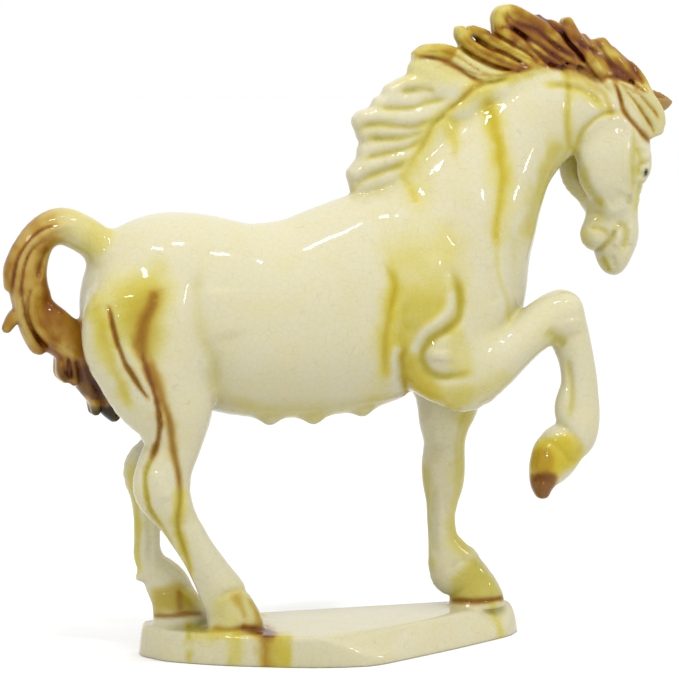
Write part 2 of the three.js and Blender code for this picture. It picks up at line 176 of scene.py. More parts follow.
# The mane's crest: x, z and half its depth
MANE_CREST = [
    [14, 189, 10], [15, 200, 12], [20, 212, 13], [28, 223.5, 13], [40, 233, 12.5], [53, 241, 13.5],
    [67, 248, 12.5], [84, 253, 12.5], [101, 253, 11], [117, 248, 10], [130, 241, 9], [141, 233, 6],
]
MANE_THICKNESS = 10
# Where the mane's foot meets the neck, in x and z
MANE_FOOT = [
    (20, 191), (27, 201), (34, 210.5), (43, 220.5), (54, 228.5), (66, 234.5), (80, 239.5), (95, 241.5),
]
CREST_TURN_X = 55
CREST_TURN_SLOPE = 0.24
CREST_TURN_MOST = 18
# How far a lock's middle stands off the crest's own middle at its root and its tip: in the mane's lying
# locks, and in the forelock
LYING = (5.6, 2)
FALLING = (7.5, 4.5)
# Locks of the mane: half depth, and the way from root to tip in x and z. The cream ones are soft.
CREAM_LOCKS = [
    [2.8, [(36, 222), (26, 220.5), (16, 219.5), (9.5, 219)]],
    [2.6, [(34, 206), (24, 204.5), (14, 203), (7.5, 201.5)]],
    [3.4, [(31, 202.5), (24, 200.5), (16, 198), (7, 195), (3.5, 193.5)]],
    [3.4, [(36, 210), (30, 208.5), (21.5, 206), (9, 202.5), (2.5, 198.5)]],
    [3, [(39, 214), (31, 213.5), (20, 212), (12, 210), (7.5, 208.5)]],
    [3, [(43, 218.5), (34, 218), (22, 217.5), (12.5, 217), (6.5, 216)]],
    [3.8, [(52, 226.5), (43, 226), (32, 223.5), (18, 224), (8, 223), (5, 221.5)]],
    [3, [(58, 230), (46, 230), (34, 229), (22, 230), (14, 229.5)]],
    [3.6, [(62, 233), (50, 234), (36, 236), (27.5, 237.5), (19.5, 234.5)]],
    [4.2, [(69, 234.5), (58, 235.5), (48, 237.5), (39, 241.5), (31.5, 245)]],
]
AMBER_LOCKS = [
    [3.6, [(66, 240.5), (57, 242.5), (49, 245), (42, 247), (35, 248)]],
    [2.4, [(84, 244), (74, 246.5), (65, 250), (58, 253), (54, 255)]],
    [3.4, [(77, 242.5), (65, 241.5), (57, 245), (50, 249.5), (43, 252), (36, 252), (32, 250)]],
    [2.8, [(86, 244.5), (74, 247), (65, 250.5), (57, 254.5), (52.5, 258.5), (51.5, 261.5)]],
    [2.8, [(93.5, 246), (83, 249.5), (73, 254), (65, 258.5), (57, 261.5)]],
    [2.4, [(99, 247), (88.5, 251.5), (78, 257), (71, 260)]],
    [2.4, [(101, 246), (91, 251), (83, 255), (76, 259), (70, 263)]],
    [2.8, [(109.5, 246), (98, 251), (86, 257), (76, 261.5), (70, 266)]],
    [3, [(121, 244), (109.5, 250), (97.5, 256.5), (86, 261.5), (77, 264.5), (70.5, 268.5)]],
    [3.2, [(118, 248), (108, 254), (97, 260.5), (86, 266), (77.5, 270), (72.5, 270)]],
    [3, [(117, 252), (109, 258), (100, 262.5), (91.5, 267)]],
    [3.2, [(125, 241), (118.5, 247.5), (113.5, 254), (109.5, 260), (107, 265.5)]],
    [2.8, [(133, 240.5), (126.5, 246), (120.5, 252), (115, 258.5)]],
    [2.8, [(137, 239.5), (131, 245.5), (126, 251), (121.5, 256)]],
    [3.2, [(143.5, 237.5), (136.5, 244), (130.5, 250.5), (125.5, 256.5)]],
    [3, [(147.5, 234), (143.5, 240), (137.5, 247), (131.5, 253)]],
    [3.6, [(142, 233), (136, 237), (130, 240), (123, 242)]],
]
# The forelock's body in the head's frame, and its locks
FORELOCK_BULK = [
    [-9, -4, 38, 6.5, 5], [-3, -5, 33, 8, 5.4], [4, -5.4, 26, 9, 5.6], [9.5, -5.2, 20, 8.4, 5.4],
    [13, -5, 15.8, 6, 4.6],
]
FORELOCK = [
    [2.5, [(127, 238), (131.5, 233), (133.5, 228), (134, 224.5)]],
    [2.8, [(134, 238), (139, 229.5), (144.5, 221.5), (149.5, 214.5)]],
    [2.6, [(138, 237.5), (145, 229), (150, 221.5), (152.5, 215.5)]],
    [2.5, [(141, 237), (148, 229), (152, 222), (154, 216.5)]],
    [2.3, [(144, 236), (149.5, 230), (153.5, 224), (155, 219.5)]],
]

# The photograph's view of the horse, from which the marks on its skin are placed
CAMERA_AZIMUTH = math.radians(-17)
CAMERA_ELEVATION = math.radians(5.5)
CAMERA_DISTANCE = 1200.0
CAMERA_TARGET = np.array([-3.0, 0.0, 140.0])
PHOTO_SIZE = np.array([679.0, 678.0])
FOCAL_LENGTH = 2727.0
MM_PER_PIXEL = 0.44
# From the target towards the camera, and to its right
CAMERA_BACK = np.array([math.sin(CAMERA_AZIMUTH) * math.cos(CAMERA_ELEVATION),
                        -math.cos(CAMERA_AZIMUTH) * math.cos(CAMERA_ELEVATION), math.sin(CAMERA_ELEVATION)])
CAMERA_RIGHT = np.array([math.cos(CAMERA_AZIMUTH), math.sin(CAMERA_AZIMUTH), 0])

# Which part of the horse a mark lies on, as a range of y off the neck's middle
NEAR = (-99, 1)
FAR = (-1, 99)
BOTH = (-99, 99)
FAR_LEGS = (-3, 99)
EYE_SIDES = [(-99, -6), (6, 99)]


def catmull_rom(rows, per_row):
    """Rows of numbers with smooth ones put in between."""
    table = np.array(rows, float)
    first = 2 * table[0] - table[1]
    last = 2 * table[-1] - table[-2]
    padded = np.vstack([first, table, last])
    out = []
    for i in range(len(table) - 1):
        before, start, end, after = padded[i:i + 4]
        leave, arrive = 0.5 * (end - before), 0.5 * (after - start)
        for step in range(per_row):
            t = step / per_row
            out.append(start + leave * t + (3 * (end - start) - 2 * leave - arrive) * t * t
                       + (2 * (start - end) + leave + arrive) * t ** 3)
    out.append(table[-1])
    return np.array(out)


def crease(side, wide, deep, line):
    """A groove along a line of photo pixels, so wide and deep in mm, or a ridge where deep is negative."""
    return {"side": side, "wide": wide, "deep": deep, "line": catmull_rom(line, 3)}


def run(side, wide, line, **glazes):
    """A run of glaze along a line of photo pixels: its half width in mm at its start and at its end."""
    return {"side": side, "wide": wide, "line": catmull_rom(line, 3), "glazes": glazes}


def patch(side, soft, outline, **glazes):
    """A patch of glaze inside an outline of photo pixels, with an edge that fades over so many mm."""
    ring = catmull_rom(outline + outline[:1], 3)
    return {"side": side, "soft": soft, "line": ring, "glazes": glazes}


# Lines in photo pixels, most of them shared by a groove and a run of glaze
THIGH_LINE = [
    (109, 306), (112.5, 324), (116.5, 340), (123.5, 360), (132.5, 375.5), (141.5, 390), (149, 399.5),
]
HAMSTRING_LINE = [
    (142.5, 355), (148.5, 377), (155, 396), (159.5, 418), (159, 437), (151.5, 459), (145, 474),
    (146, 492), (150.5, 509), (163, 527), (173, 545),
]
GASKIN_LINE = [
    (149, 359), (157, 386), (164, 407), (170.5, 427), (172.5, 448), (177, 468), (180, 488), (180, 503),
    (178, 518), (179, 533), (183.5, 547), (189, 564), (191.5, 577),
]
FLANK_LINE = [(199.5, 262), (197.5, 297), (199.5, 324), (204, 344), (213, 362), (215, 382), (211, 398)]
SHOULDER_BACK_LINE = [
    (383, 262), (392, 277), (395, 289), (391, 309), (385.5, 335), (384, 356), (386, 378),
]
ELBOW_LINE = [
    (449, 262), (456, 280), (460, 300), (458, 319), (446, 330), (431, 339), (423, 351), (424, 364),
    (434, 374), (453, 376), (471, 372),
]
ELBOW_BACK_LINE = [(409, 345), (402, 356), (402, 374), (408, 391), (423, 404), (440, 410), (455, 412)]
MUSCLE_LINE = [(409, 300), (401, 318), (399, 337), (403, 350)]
NECK_DRIP_LINE = [
    (486, 96), (491, 114), (496, 135), (500, 157), (502, 178), (499.5, 199), (496.5, 222), (496, 244),
]
THROAT_LINE = [(564, 70), (567.5, 82), (568.5, 98), (568, 116), (567.5, 132), (570, 145), (576, 154)]
JAW_LINE = [(576, 154), (579, 165), (584, 177), (590, 190), (597, 200), (604, 205)]
CHEEK_TOP_LINE = [(577, 150), (579, 138), (586, 127), (596, 118), (607, 113), (622, 113)]
POLL_ARC_LINE = [(546, 85), (564, 86.5), (578, 89), (589.5, 94), (598, 102), (604, 111)]
FACE_LINE = [(633, 128), (633.5, 141), (633, 153), (632.5, 168), (633, 182), (633.5, 194)]
BROW_LINE = [(636, 146), (639.5, 154), (641, 161), (638.5, 168), (637.5, 177)]
MOUTH_LINE = [(594.5, 252), (601, 248), (607.5, 242.5), (612.5, 235.5), (616, 229)]
NOSTRIL_LINE = [(616.5, 229), (620.5, 225), (625, 228), (626, 236), (624.5, 243), (622, 251)]
MANE_FOOT_LINE = [
    (529, 68), (517, 72), (505, 78), (494, 81.5), (484, 84), (474, 88), (467, 94), (459.5, 101),
    (450, 108.5), (441.5, 117), (433, 125.5), (426.5, 139), (421.5, 147), (417, 154), (413, 161),
    (408.5, 167), (405, 174),
]
TAIL_OUTER_LINE = [
    (58, 225), (45, 228), (33, 236), (26, 245), (19, 257), (15.5, 269), (13.5, 281), (13, 291),
]
TAIL_RIDGE_LINE = [
    (80, 228), (69, 225.5), (58, 228), (47, 232), (36, 240), (27.5, 250), (20.5, 263), (17.5, 277),
    (16.5, 292), (18, 309), (23, 326), (30, 341), (40, 350),
]
TAIL_INNER_LINE = [
    (46, 238), (32, 249), (25, 264), (22, 281), (22.5, 298), (26, 314), (32, 328), (41, 341), (52, 350),
]
PANEL_EDGE_LINE = [
    (37.5, 283), (33.5, 296), (32, 309), (35, 322), (43, 335), (54, 345), (69, 354), (83, 362),
]
CURL_GAP_LINES = [
    [(60, 355), (64, 366), (65, 378)],
    [(67, 357), (71, 368), (71, 380)],
    [(75, 359), (80, 371), (82, 383)],
    [(84, 364), (89, 378), (94, 391), (97, 406)],
    [(92, 378), (99, 391), (104, 405), (107, 414)],
]
# The gaps between the mane's locks, from its tail end forwards
LOCK_GAP_LINES = [
    [(417, 56.5), (425, 57), (435, 58.5), (445, 61), (453, 65), (460, 69.5), (466.5, 74), (475, 78.5),
     (483, 81.5)],
    [(460, 46), (465, 51), (472, 56), (480, 60), (488, 64), (496, 67), (505, 69.5), (516, 71),
     (524, 70)],
    [(469, 35), (475, 39), (482, 44), (490, 48), (498, 51), (506, 54), (513, 58), (520, 62), (530, 67)],
    [(482, 32), (492, 34), (501, 38), (509, 42.5), (517, 47), (525, 51), (533, 57), (541, 64)],
    [(497, 28), (506, 27.5), (515, 30.5), (524, 37), (531, 47), (538, 54.5), (546, 61.5), (556, 66),
     (569, 68)],
    [(503, 14), (509, 24), (519, 32), (530, 39), (541, 45.5), (550, 53), (561, 60), (573, 65),
     (587, 69)],
    [(506, 11.5), (510.5, 19), (519, 24), (529, 27), (538, 30.5), (546, 37.5), (555, 45), (564, 51.5),
     (574, 57)],
    [(533, 11.5), (543.5, 17), (554, 26), (564, 36), (573, 47), (582, 57), (589, 66)],
    [(561.5, 25), (563.5, 35), (568.5, 43), (575.5, 50), (582, 58), (588, 66), (596, 74)],
    [(580, 38), (583, 45), (590, 49), (598, 53), (605, 60.5), (612, 68), (620, 77)],
    [(597, 42), (601, 48), (606, 56), (612, 63), (619, 69), (628, 77), (635, 84)],
    [(609, 39), (616, 46), (623, 54), (631, 64), (637, 73), (643, 82)],
    [(603, 78), (612, 76.5), (621, 79), (629, 82), (637, 87), (646, 92)],
]
FORELOCK_EDGE_LINE = [
    (614, 82), (618, 90), (621, 100), (624, 111), (631, 121), (638, 129), (645, 137), (649, 142),
]
FORELOCK_GAP_LINES = [
    [(623, 86), (633.5, 99.5), (643, 113.5), (652, 128), (655, 134)],
    [(634, 88), (644.5, 100), (654, 111), (659, 119)],
]
# The soft flutes of the cream part of the mane
FLUTE_LINES = [
    [(399, 92), (411, 90), (424, 89), (436, 92)],
    [(376, 106.5), (393, 108.5), (412, 107.5), (424, 103.5), (436, 101), (448, 98)],
    [(357, 129.5), (366, 126), (380, 124.5), (397, 126.5), (412, 127), (423, 123.5), (435, 117)],
    [(366, 138), (384, 139), (401, 138), (414, 134.5), (424, 130)],
    [(362, 160), (379.5, 155), (393, 152), (405, 148.5), (415, 144), (424, 137)],
    [(350, 190), (360.5, 181.5), (371, 176), (384, 171), (397, 166.5), (407, 160)],
]


def photo_place(points):
    """Where the photograph shows points of the horse's own frame, in pixels."""
    up = np.cross(CAMERA_BACK, CAMERA_RIGHT)
    off = points + (HORSE_PLACE - CAMERA_TARGET - CAMERA_DISTANCE * CAMERA_BACK)
    far = off @ -CAMERA_BACK
    return PHOTO_SIZE / 2 + FOCAL_LENGTH * np.stack([off @ CAMERA_RIGHT, off @ -up], 1) / far[:, None]


def mirrored(rows):
    """Sections of a form, mirrored to the other side."""
    return [[row[0], -row[1], *row[2:]] for row in rows]


def crest_y(x):
    """The mane stands over the neck, which turns to the left towards the head."""
    return max(0, min(CREST_TURN_MOST, (x - CREST_TURN_X) * CREST_TURN_SLOPE))


def mane_lock(row, lie, sign):
    """A lock of the mane, on the near side where sign is -1: it swells from its root to a blunt tip."""
    half, way = row
    off_root, off_tip = lie
    sections = []
    for i, (x, z) in enumerate(way):
        t = i / (len(way) - 1)
        swell = np.interp(t, [0, 0.35, 0.75, 1], [0.7, 1, 1, 0.8])
        y = crest_y(x) + sign * (off_root + (off_tip - off_root) * t)
        sections.append([x, y, z, half * swell, half * swell * 0.9])
    return sections


def strand_line(row):
    """The middle line of a lock of the near side, in photo pixels."""
    centres = np.array([section[:3] for section in mane_lock(row, LYING, -1)])
    return [tuple(place) for place in photo_place(centres)[:-1]]


STRAND_LINES = [strand_line(row) for row in AMBER_LOCKS]
# Sets of like lines, each a groove and a run of glaze: the groove's half width and depth, then the run's half
# widths and its glazes
LINE_SETS = {
    "curl gap": (CURL_GAP_LINES, (1.0, 0.8), (0.7, 0.7), {"amber": 0.5, "purple": 0.1}),
    "lock gap": (LOCK_GAP_LINES, (1.0, 1.2), (0.8, 0.8), {"amber": 0.95}),
    "strand": (STRAND_LINES, (0.9, 0.5), (0.5, 0.5), {"amber": 0.35}),
    "forelock edge": ([FORELOCK_EDGE_LINE], (1.0, 1.2), (0.9, 0.7), {"amber": 1.2}),
    "forelock gap": (FORELOCK_GAP_LINES, (0.8, 0.8), (0.6, 0.5), {"amber": 0.45, "olive": 0.2}),
    "flute": (FLUTE_LINES, (2.0, 1.0), (1.2, 0.9), {"yellow": 0.3, "olive": 0.35}),
}

CREASES = {
    "flank": crease(BOTH, 3.6, 1.2, FLANK_LINE),
    "haunch": crease(BOTH, 8, -1.0, [(221, 285), (222, 310), (230, 340)]),
    "thigh": crease(BOTH, 1.2, 2.0, THIGH_LINE),
    "beside the thigh line": crease(NEAR, 2.2, -0.9, [(125, 345), (132, 361), (142, 379), (150, 396)]),
    "hamstring": crease(NEAR, 1.3, 2.0, HAMSTRING_LINE),
    "gaskin": crease(NEAR, 1.5, 1.6, GASKIN_LINE),
    "between the two": crease(NEAR, 1.6, -1.0, [(147, 362), (153, 382), (159, 399), (165, 420),
        (166, 436)]),
    "buttock": crease(BOTH, 3, 0.7, [(101, 326), (107, 346), (114, 369), (122, 389), (130, 407)]),
    "hock bone": crease(NEAR, 3.4, -1.0, [(157, 470), (160, 487), (167, 503)]),
    "shin": crease(NEAR, 4, -0.6, [(196, 520), (207, 545), (220, 570)]),
    "shoulder back": crease(NEAR, 2.2, 0.9, SHOULDER_BACK_LINE),
    "rib edge": crease(NEAR, 2.4, -0.7, [(398, 300), (395, 325), (393, 350), (393, 372)]),
    "shoulder back, far": crease(FAR, 2.4, 1.0, SHOULDER_BACK_LINE),
    "elbow": crease(NEAR, 2.5, 2.0, ELBOW_LINE),
    "elbow, far": crease(FAR, 2.4, 1.2, ELBOW_LINE[:6]),
    "above the elbow": crease(NEAR, 2.4, -1.2, [(446, 272), (450, 290), (450, 308), (441, 320),
        (428, 330), (417, 344)]),
    "elbow point": crease(NEAR, 4.4, -1.4, [(441, 350), (441, 362)]),
    "elbow back": crease(NEAR, 2.0, 1.1, ELBOW_BACK_LINE),
    "muscle": crease(NEAR, 3.4, 0.6, MUSCLE_LINE),
    "muscle swell": crease(NEAR, 6, -1.0, [(440, 250), (434, 275), (425, 302), (412, 332)]),
    "below the elbow": crease(NEAR, 3, -0.8, [(413, 375), (420, 388), (434, 396), (452, 396)]),
    "shoulder front": crease(NEAR, 4, 0.6, [(440, 218), (449, 238), (459, 256), (463, 275), (460, 296)]),
    "breast side": crease(BOTH, 3, 0.6, [(490, 262), (493, 285), (497, 305)]),
    "chest edge": crease(BOTH, 2.6, 0.6, [(516, 232), (514, 255), (514, 280), (517, 300)]),
    "neck drip": crease(NEAR, 2.4, 0.4, NECK_DRIP_LINE),
    "windpipe": crease(BOTH, 3, 0.8, [(545, 165), (538, 190), (532, 215), (524, 240)]),
    "throat": crease(BOTH, 1.2, 0.9, THROAT_LINE),
    "jaw": crease(BOTH, 1.8, 1.0, JAW_LINE),
    "cheek top": crease(BOTH, 1.3, 1.3, CHEEK_TOP_LINE),
    "poll arc": crease(BOTH, 1.4, 1.0, POLL_ARC_LINE),
    "poll swell": crease(BOTH, 2.2, -0.8, [(551, 78), (572, 79), (590, 84), (602, 95)]),
    "mane foot": crease(BOTH, 1.3, 1.1, MANE_FOOT_LINE),
    "face": crease(BOTH, 1.4, 0.6, FACE_LINE),
    "face bone": crease(BOTH, 1.8, -0.8, [(630, 128), (630, 150), (629, 170), (629, 186)]),
    "cheek hollow": crease(BOTH, 3.4, 0.9, [(622, 190), (616, 200), (609, 206)]),
    "cheek dent": crease(BOTH, 1.7, 1.2, [(627, 193), (629, 199), (629, 206)]),
    "brow": crease(BOTH, 1.4, 0.6, BROW_LINE),
    "brow fold": crease(BOTH, 1.3, -0.8, [(642, 144), (648, 149), (649, 156), (645.5, 161)]),
    "eye lid": crease(BOTH, 1.1, 0.6, [(640.5, 165), (643.5, 162.5), (647, 163.5)]),
    "eye below": crease(BOTH, 1.2, 0.4, [(640, 172), (643.5, 177), (648, 178)]),
    "tear line": crease(BOTH, 1.3, 0.8, [(641, 181), (638.5, 188), (638, 200)]),
    "mouth": crease(BOTH, 1.4, 1.5, MOUTH_LINE),
    "chin fold": crease(BOTH, 1.2, 0.9, [(588, 227.5), (599, 229), (606, 233), (605.5, 241)]),
    "nostril": crease(BOTH, 2.0, 1.4, NOSTRIL_LINE),
    "nostril wing": crease(BOTH, 1.5, -0.9, [(618.5, 232), (618.5, 240), (615, 248)]),
    "nostril rim": crease(BOTH, 1.4, -0.7, [(630.5, 224), (632, 234), (630, 246)]),
    "lip": crease(BOTH, 1.1, 0.9, [(611.5, 255), (614, 262), (613.5, 268)]),
    "far hock back": crease(FAR_LEGS, 1.3, 1.0, [(134.5, 486), (138, 503), (140, 529), (139, 556),
        (142, 571)]),
    "far cannon": crease(FAR_LEGS, 1.6, 1.1, [(147, 508), (150, 540), (148, 568)]),
    "far cannon front": crease(FAR_LEGS, 1.5, 0.7, [(157, 520), (163.5, 540), (164, 564)]),
    "far hind pastern": crease(FAR_LEGS, 1.4, 0.9, [(149, 588), (163, 591), (180, 588), (192, 592)]),
    "far hind hoof": crease(FAR_LEGS, 1.2, 1.2, [(152, 616), (170, 616.5), (186, 613.5), (203, 614)]),
    "far hind sole": crease(FAR_LEGS, 2, -0.8, [(153, 622), (175, 622.5), (204, 620)]),
    "near coronet": crease(NEAR, 1.4, 0.7, [(217, 600), (229, 592), (243, 590), (252, 594)]),
    "near hoof rim": crease(NEAR, 1.2, 0.9, [(210, 628), (228, 630), (245, 628.5), (262, 632)]),
    "far cannon, fore": crease(FAR_LEGS, 1.5, 0.9, [(434, 480), (433, 510), (434, 540), (437, 562)]),
    "far knee": crease(FAR_LEGS, 4, -0.7, [(440, 445), (441, 465)]),
    "far tendon, fore": crease(FAR_LEGS, 1.5, 0.7, [(447, 486), (446, 515), (449, 540)]),
    "far fore coronet": crease(FAR_LEGS, 1.3, 0.8, [(448, 572), (458, 562), (470, 560), (480, 566)]),
    "far fore rim": crease(FAR_LEGS, 1.2, 1.2, [(450, 600), (473, 601.5), (490, 600), (506, 597)]),
    "raised cannon": crease(NEAR, 1.5, 1.0, [(568, 358), (571, 378), (572, 398), (570, 418)]),
    "raised knee": crease(NEAR, 2.6, 1.0, [(547, 330), (556, 337), (566, 345)]),
    "knee bone": crease(NEAR, 4.5, -0.8, [(572, 318), (575, 334)]),
    "raised pastern": crease(NEAR, 1.6, 0.9, [(556, 424), (566, 428), (580, 444), (577, 458)]),
    "raised coronet": crease(NEAR, 1.3, 0.8, [(537, 439), (548, 441), (562, 452), (574, 467)]),
    "raised hoof rim": crease(NEAR, 1.2, 1.2, [(532, 483), (541, 479), (552, 482), (556, 477)]),
    "tail outer": crease(BOTH, 1.0, 0.9, TAIL_OUTER_LINE),
    "tail ridge": crease(BOTH, 1.1, -1.1, TAIL_RIDGE_LINE),
    "tail inner": crease(BOTH, 1.0, 0.8, TAIL_INNER_LINE),
    "panel edge": crease(BOTH, 1.2, -1.3, PANEL_EDGE_LINE),
    "panel gap": crease(BOTH, 1.1, 1.3, [(34, 283), (29, 296), (27.5, 310), (30.5, 326), (39, 340),
        (51, 350)]),
    "panel": crease(BOTH, 4, 1.4, [(46, 290), (45, 308), (53, 327), (68, 341)]),
    "tail hollow": crease(BOTH, 1.3, 1.2, [(50, 245), (43, 257), (39, 271), (37.5, 281)]),
}
ALL_CREASES = list(CREASES.values())
for lines, (wide, deep), _, _ in LINE_SETS.values():
    ALL_CREASES += [crease(BOTH, wide, deep, line) for line in lines]


def smooth_step(values):
    """0 up to 0 and 1 from 1 on, with a soft rise between."""
    t = np.clip(values, 0, 1)
    return t * t * (3 - 2 * t)


def soft_min(a, b, blend):
    """The lesser of two distances, with a fillet where they are alike."""
    overlap = np.maximum(blend - np.abs(a - b), 0) / blend
    return np.minimum(a, b) - overlap * overlap * blend * 0.25


class Forms:
    """The swept forms that are melted together into the horse's skin."""

    def __init__(self):
        keys = ("start", "along", "deep", "side", "length", "depth", "width", "form")
        self.parts = {key: [] for key in keys}
        self.blends = []
        self.cuts = []
        self.names = []

    def add(self, name, rows, blend, per_row=4, in_head=False, cut=False):
        """Adds one form. blend is the width over which it melts into what was added before it."""
        table = catmull_rom(rows, per_row)
        centre, depth, width = table[:, :3], table[:, 3], table[:, 4]
        reference = np.array([0.0, 1.0, 0.0])
        if in_head:
            c, s = math.cos(HEAD_TURN), math.sin(HEAD_TURN)
            turn = np.array([[c, -s, 0], [s, c, 0], [0, 0, 1]])
            centre = centre @ turn.T + HEAD_PLACE
            reference = turn @ reference
        step = centre[1:] - centre[:-1]
        length = np.maximum(np.linalg.norm(step, axis=1), 1e-6)
        along = step / length[:, None]
        side = reference - along * (along @ reference)[:, None]
        side /= np.linalg.norm(side, axis=1)[:, None]
        parts = self.parts
        parts["start"].append(centre[:-1])
        parts["along"].append(along)
        parts["deep"].append(np.cross(side, along))
        parts["side"].append(side)
        parts["length"].append(length)
        parts["depth"].append(np.stack([depth[:-1], depth[1:] - depth[:-1]], 1))
        parts["width"].append(np.stack([width[:-1], width[1:] - width[:-1]], 1))
        parts["form"].append(np.full(len(length), len(self.blends)))
        self.blends.append(blend)
        self.cuts.append(cut)
        self.names.append(name)

    def close(self):
        """Joins the lists, once every form is in."""
        for key, values in self.parts.items():
            self.parts[key] = np.concatenate(values)
        p = self.parts
        self.start_along = (p["start"] * p["along"]).sum(1)
        self.start_deep = (p["start"] * p["deep"]).sum(1)
        self.start_side = (p["start"] * p["side"]).sum(1)

    def named(self, *starts):
        """The segments of the forms whose names start so."""
        wanted = [i for i, name in enumerate(self.names) if name.startswith(starts)]
        return np.flatnonzero(np.isin(self.parts["form"], wanted))

    def distances(self, points, chosen):
        """Distance of each point from each chosen segment's elliptical surface, negative inside it."""
        p = self.parts
        forward = points @ p["along"][chosen].T - self.start_along[chosen]
        share = np.clip(forward / p["length"][chosen], 0, 1)
        beyond = forward - share * p["length"][chosen]
        deep = points @ p["deep"][chosen].T - self.start_deep[chosen]
        side = points @ p["side"][chosen].T - self.start_side[chosen]
        depth = p["depth"][chosen, 0] + share * p["depth"][chosen, 1]
        width = p["width"][chosen, 0] + share * p["width"][chosen, 1]
        cap = np.minimum(depth, width)
        a, b, c = beyond / cap, deep / depth, side / width
        size = np.sqrt(a * a + b * b + c * c) + 1e-9
        slope = np.sqrt((a / cap) ** 2 + (b / depth) ** 2 + (c / width) ** 2) + 1e-9
        return size * (size - 1) / slope

    def melt(self, points, chosen, base):
        """Melts the chosen segments, form by form, into base."""
        if not len(chosen):
            return base
        reach = self.distances(points, chosen)
        owner = self.parts["form"][chosen]
        starts = np.flatnonzero(np.r_[True, owner[1:] != owner[:-1]])
        nearest = np.minimum.reduceat(reach, starts, axis=1)
        value = base
        for column, index in enumerate(owner[starts]):
            blend = self.blends[index]
            if self.cuts[index]:
                value = -soft_min(-value, nearest[:, column], blend)
            else:
                value = soft_min(value, nearest[:, column], blend)
        return value


def tail_lock(row, sign):
    """A lock of the tail, on the near side where sign is 1."""
    off, half, way = row
    count = len(way) - 1
    swell = np.interp(np.arange(count + 1) / count, [0, 0.4, 1], [0.9, 1, 0.7])
    return [[x, -off * sign, z, half * s, (half + 2) * s] for (x, z), s in zip(way, swell)]


def make_forms():
    """All forms, in the order in which they melt together."""
    forms = Forms()
    forms.add("barrel", BARREL, 1, per_row=7)
    forms.add("neck", NECK, 9, per_row=6)
    for side, flip in (("near ", list), ("far ", mirrored)):
        forms.add(side + "shoulder", flip(SHOULDER), 7, per_row=5)
        forms.add(side + "breast", flip(BREAST), 7)
    forms.add("near hind leg", NEAR_HIND_LEG, 6)
    forms.add("far hind leg", FAR_HIND_LEG, 6)
    forms.add("far foreleg", FAR_FORELEG, 6)
    for rows in FAR_SPURS:
        forms.add("spur", rows, 1.5)
    forms.add("raised arm", RAISED_ARM, 4)
    forms.add("raised cannon", RAISED_CANNON, 4)
    forms.add("raised hoof", RAISED_HOOF, 2.5)
    for x, top, low in DROPS:
        forms.add("drop", [[x, -4, top + 6, 7, 5], [x, -5, top, 3.4, 3], [x, -5, low + 1.5, 1.6, 1.6]], 5)
    forms.add("skull", SKULL, 5, in_head=True)
    for side, flip in (("near ", list), ("far ", mirrored)):
        forms.add(side + "throat", flip(THROAT), 3, in_head=True)
        forms.add(side + "jowl", flip(JOWL), 3, in_head=True)
        forms.add(side + "brow", flip(BROW), 2.5, in_head=True)
        forms.add(side + "eyeball", flip(EYEBALL), 1, in_head=True)
    forms.add("chin", CHIN, 2.5, in_head=True)
    forms.add("ear", EAR, 2, in_head=True)
    forms.add("ear hollow", EAR_HOLLOW, 1, in_head=True, cut=True)
    forms.add("tail", TAIL, 5)
    for row in TAIL_LOCKS:
        for sign in (1, -1) if row[0] else (1,):
            forms.add("tail lock", tail_lock(row, sign), 1.0, per_row=3)
    forms.add("crest", [[x, crest_y(x), z, half - 0.8, MANE_THICKNESS / 2] for x, z, half in MANE_CREST], 3)
    forms.add("crest foot", [[x, crest_y(x), z, 6.5, 6.5] for x, z in MANE_FOOT], 4)
    for flip in (list, mirrored):
        forms.add("forelock bulk", flip(FORELOCK_BULK), 2, in_head=True)
    sets = (("cream", CREAM_LOCKS, LYING, 4.2), ("amber", AMBER_LOCKS, LYING, 2.0),
            ("forelock", FORELOCK, FALLING, 1.6))
    for name, locks, lie, blend in sets:
        for row, sign in itertools.product(locks, (-1, 1)):
            forms.add(name, mane_lock(row, lie, sign), blend, per_row=3)
    forms.close()
    return forms


forms = make_forms()


def slab_distance(points):
    """Distance from the many-sided slab, in the horse's own frame."""
    x = points[:, 0] + HORSE_PLACE[0]
    y = points[:, 1] + HORSE_PLACE[1]
    z = points[:, 2] + SLAB_THICKNESS
    rise = np.clip(z / SLAB_THICKNESS, 0, 1)
    worst = z - SLAB_THICKNESS
    corners = np.array(SLAB_CORNERS, float)
    half_size = (SLAB_LENGTH / 2, SLAB_WIDTH / 2)
    for foot_a, top_a, foot_b, top_b in np.concatenate([corners, np.roll(corners, -1, axis=0)], axis=1):
        ax, ay = [(foot_a[n] + (top_a[n] - foot_a[n]) * rise) * half_size[n] for n in (0, 1)]
        bx, by = [(foot_b[n] + (top_b[n] - foot_b[n]) * rise) * half_size[n] for n in (0, 1)]
        edge_x, edge_y = bx - ax, by - ay
        edge = np.sqrt(edge_x * edge_x + edge_y * edge_y)
        outward = (edge_x * (y - ay) - edge_y * (x - ax)) / -edge
        worst = -soft_min(-worst, -outward, SLAB_EDGE_ROUND * 1.4)
    return worst


def middle_y(x):
    """The horse's middle, which turns to the left along the neck and the head."""
    return np.maximum((x - CREST_TURN_X) * CREST_TURN_SLOPE, 0)


def near_twin(points):
    """The same points, with those of the far side mirrored onto the near side."""
    twin = points.copy()
    middle = middle_y(points[:, 0])
    twin[:, 1] = middle - np.abs(points[:, 1] - middle)
    return twin


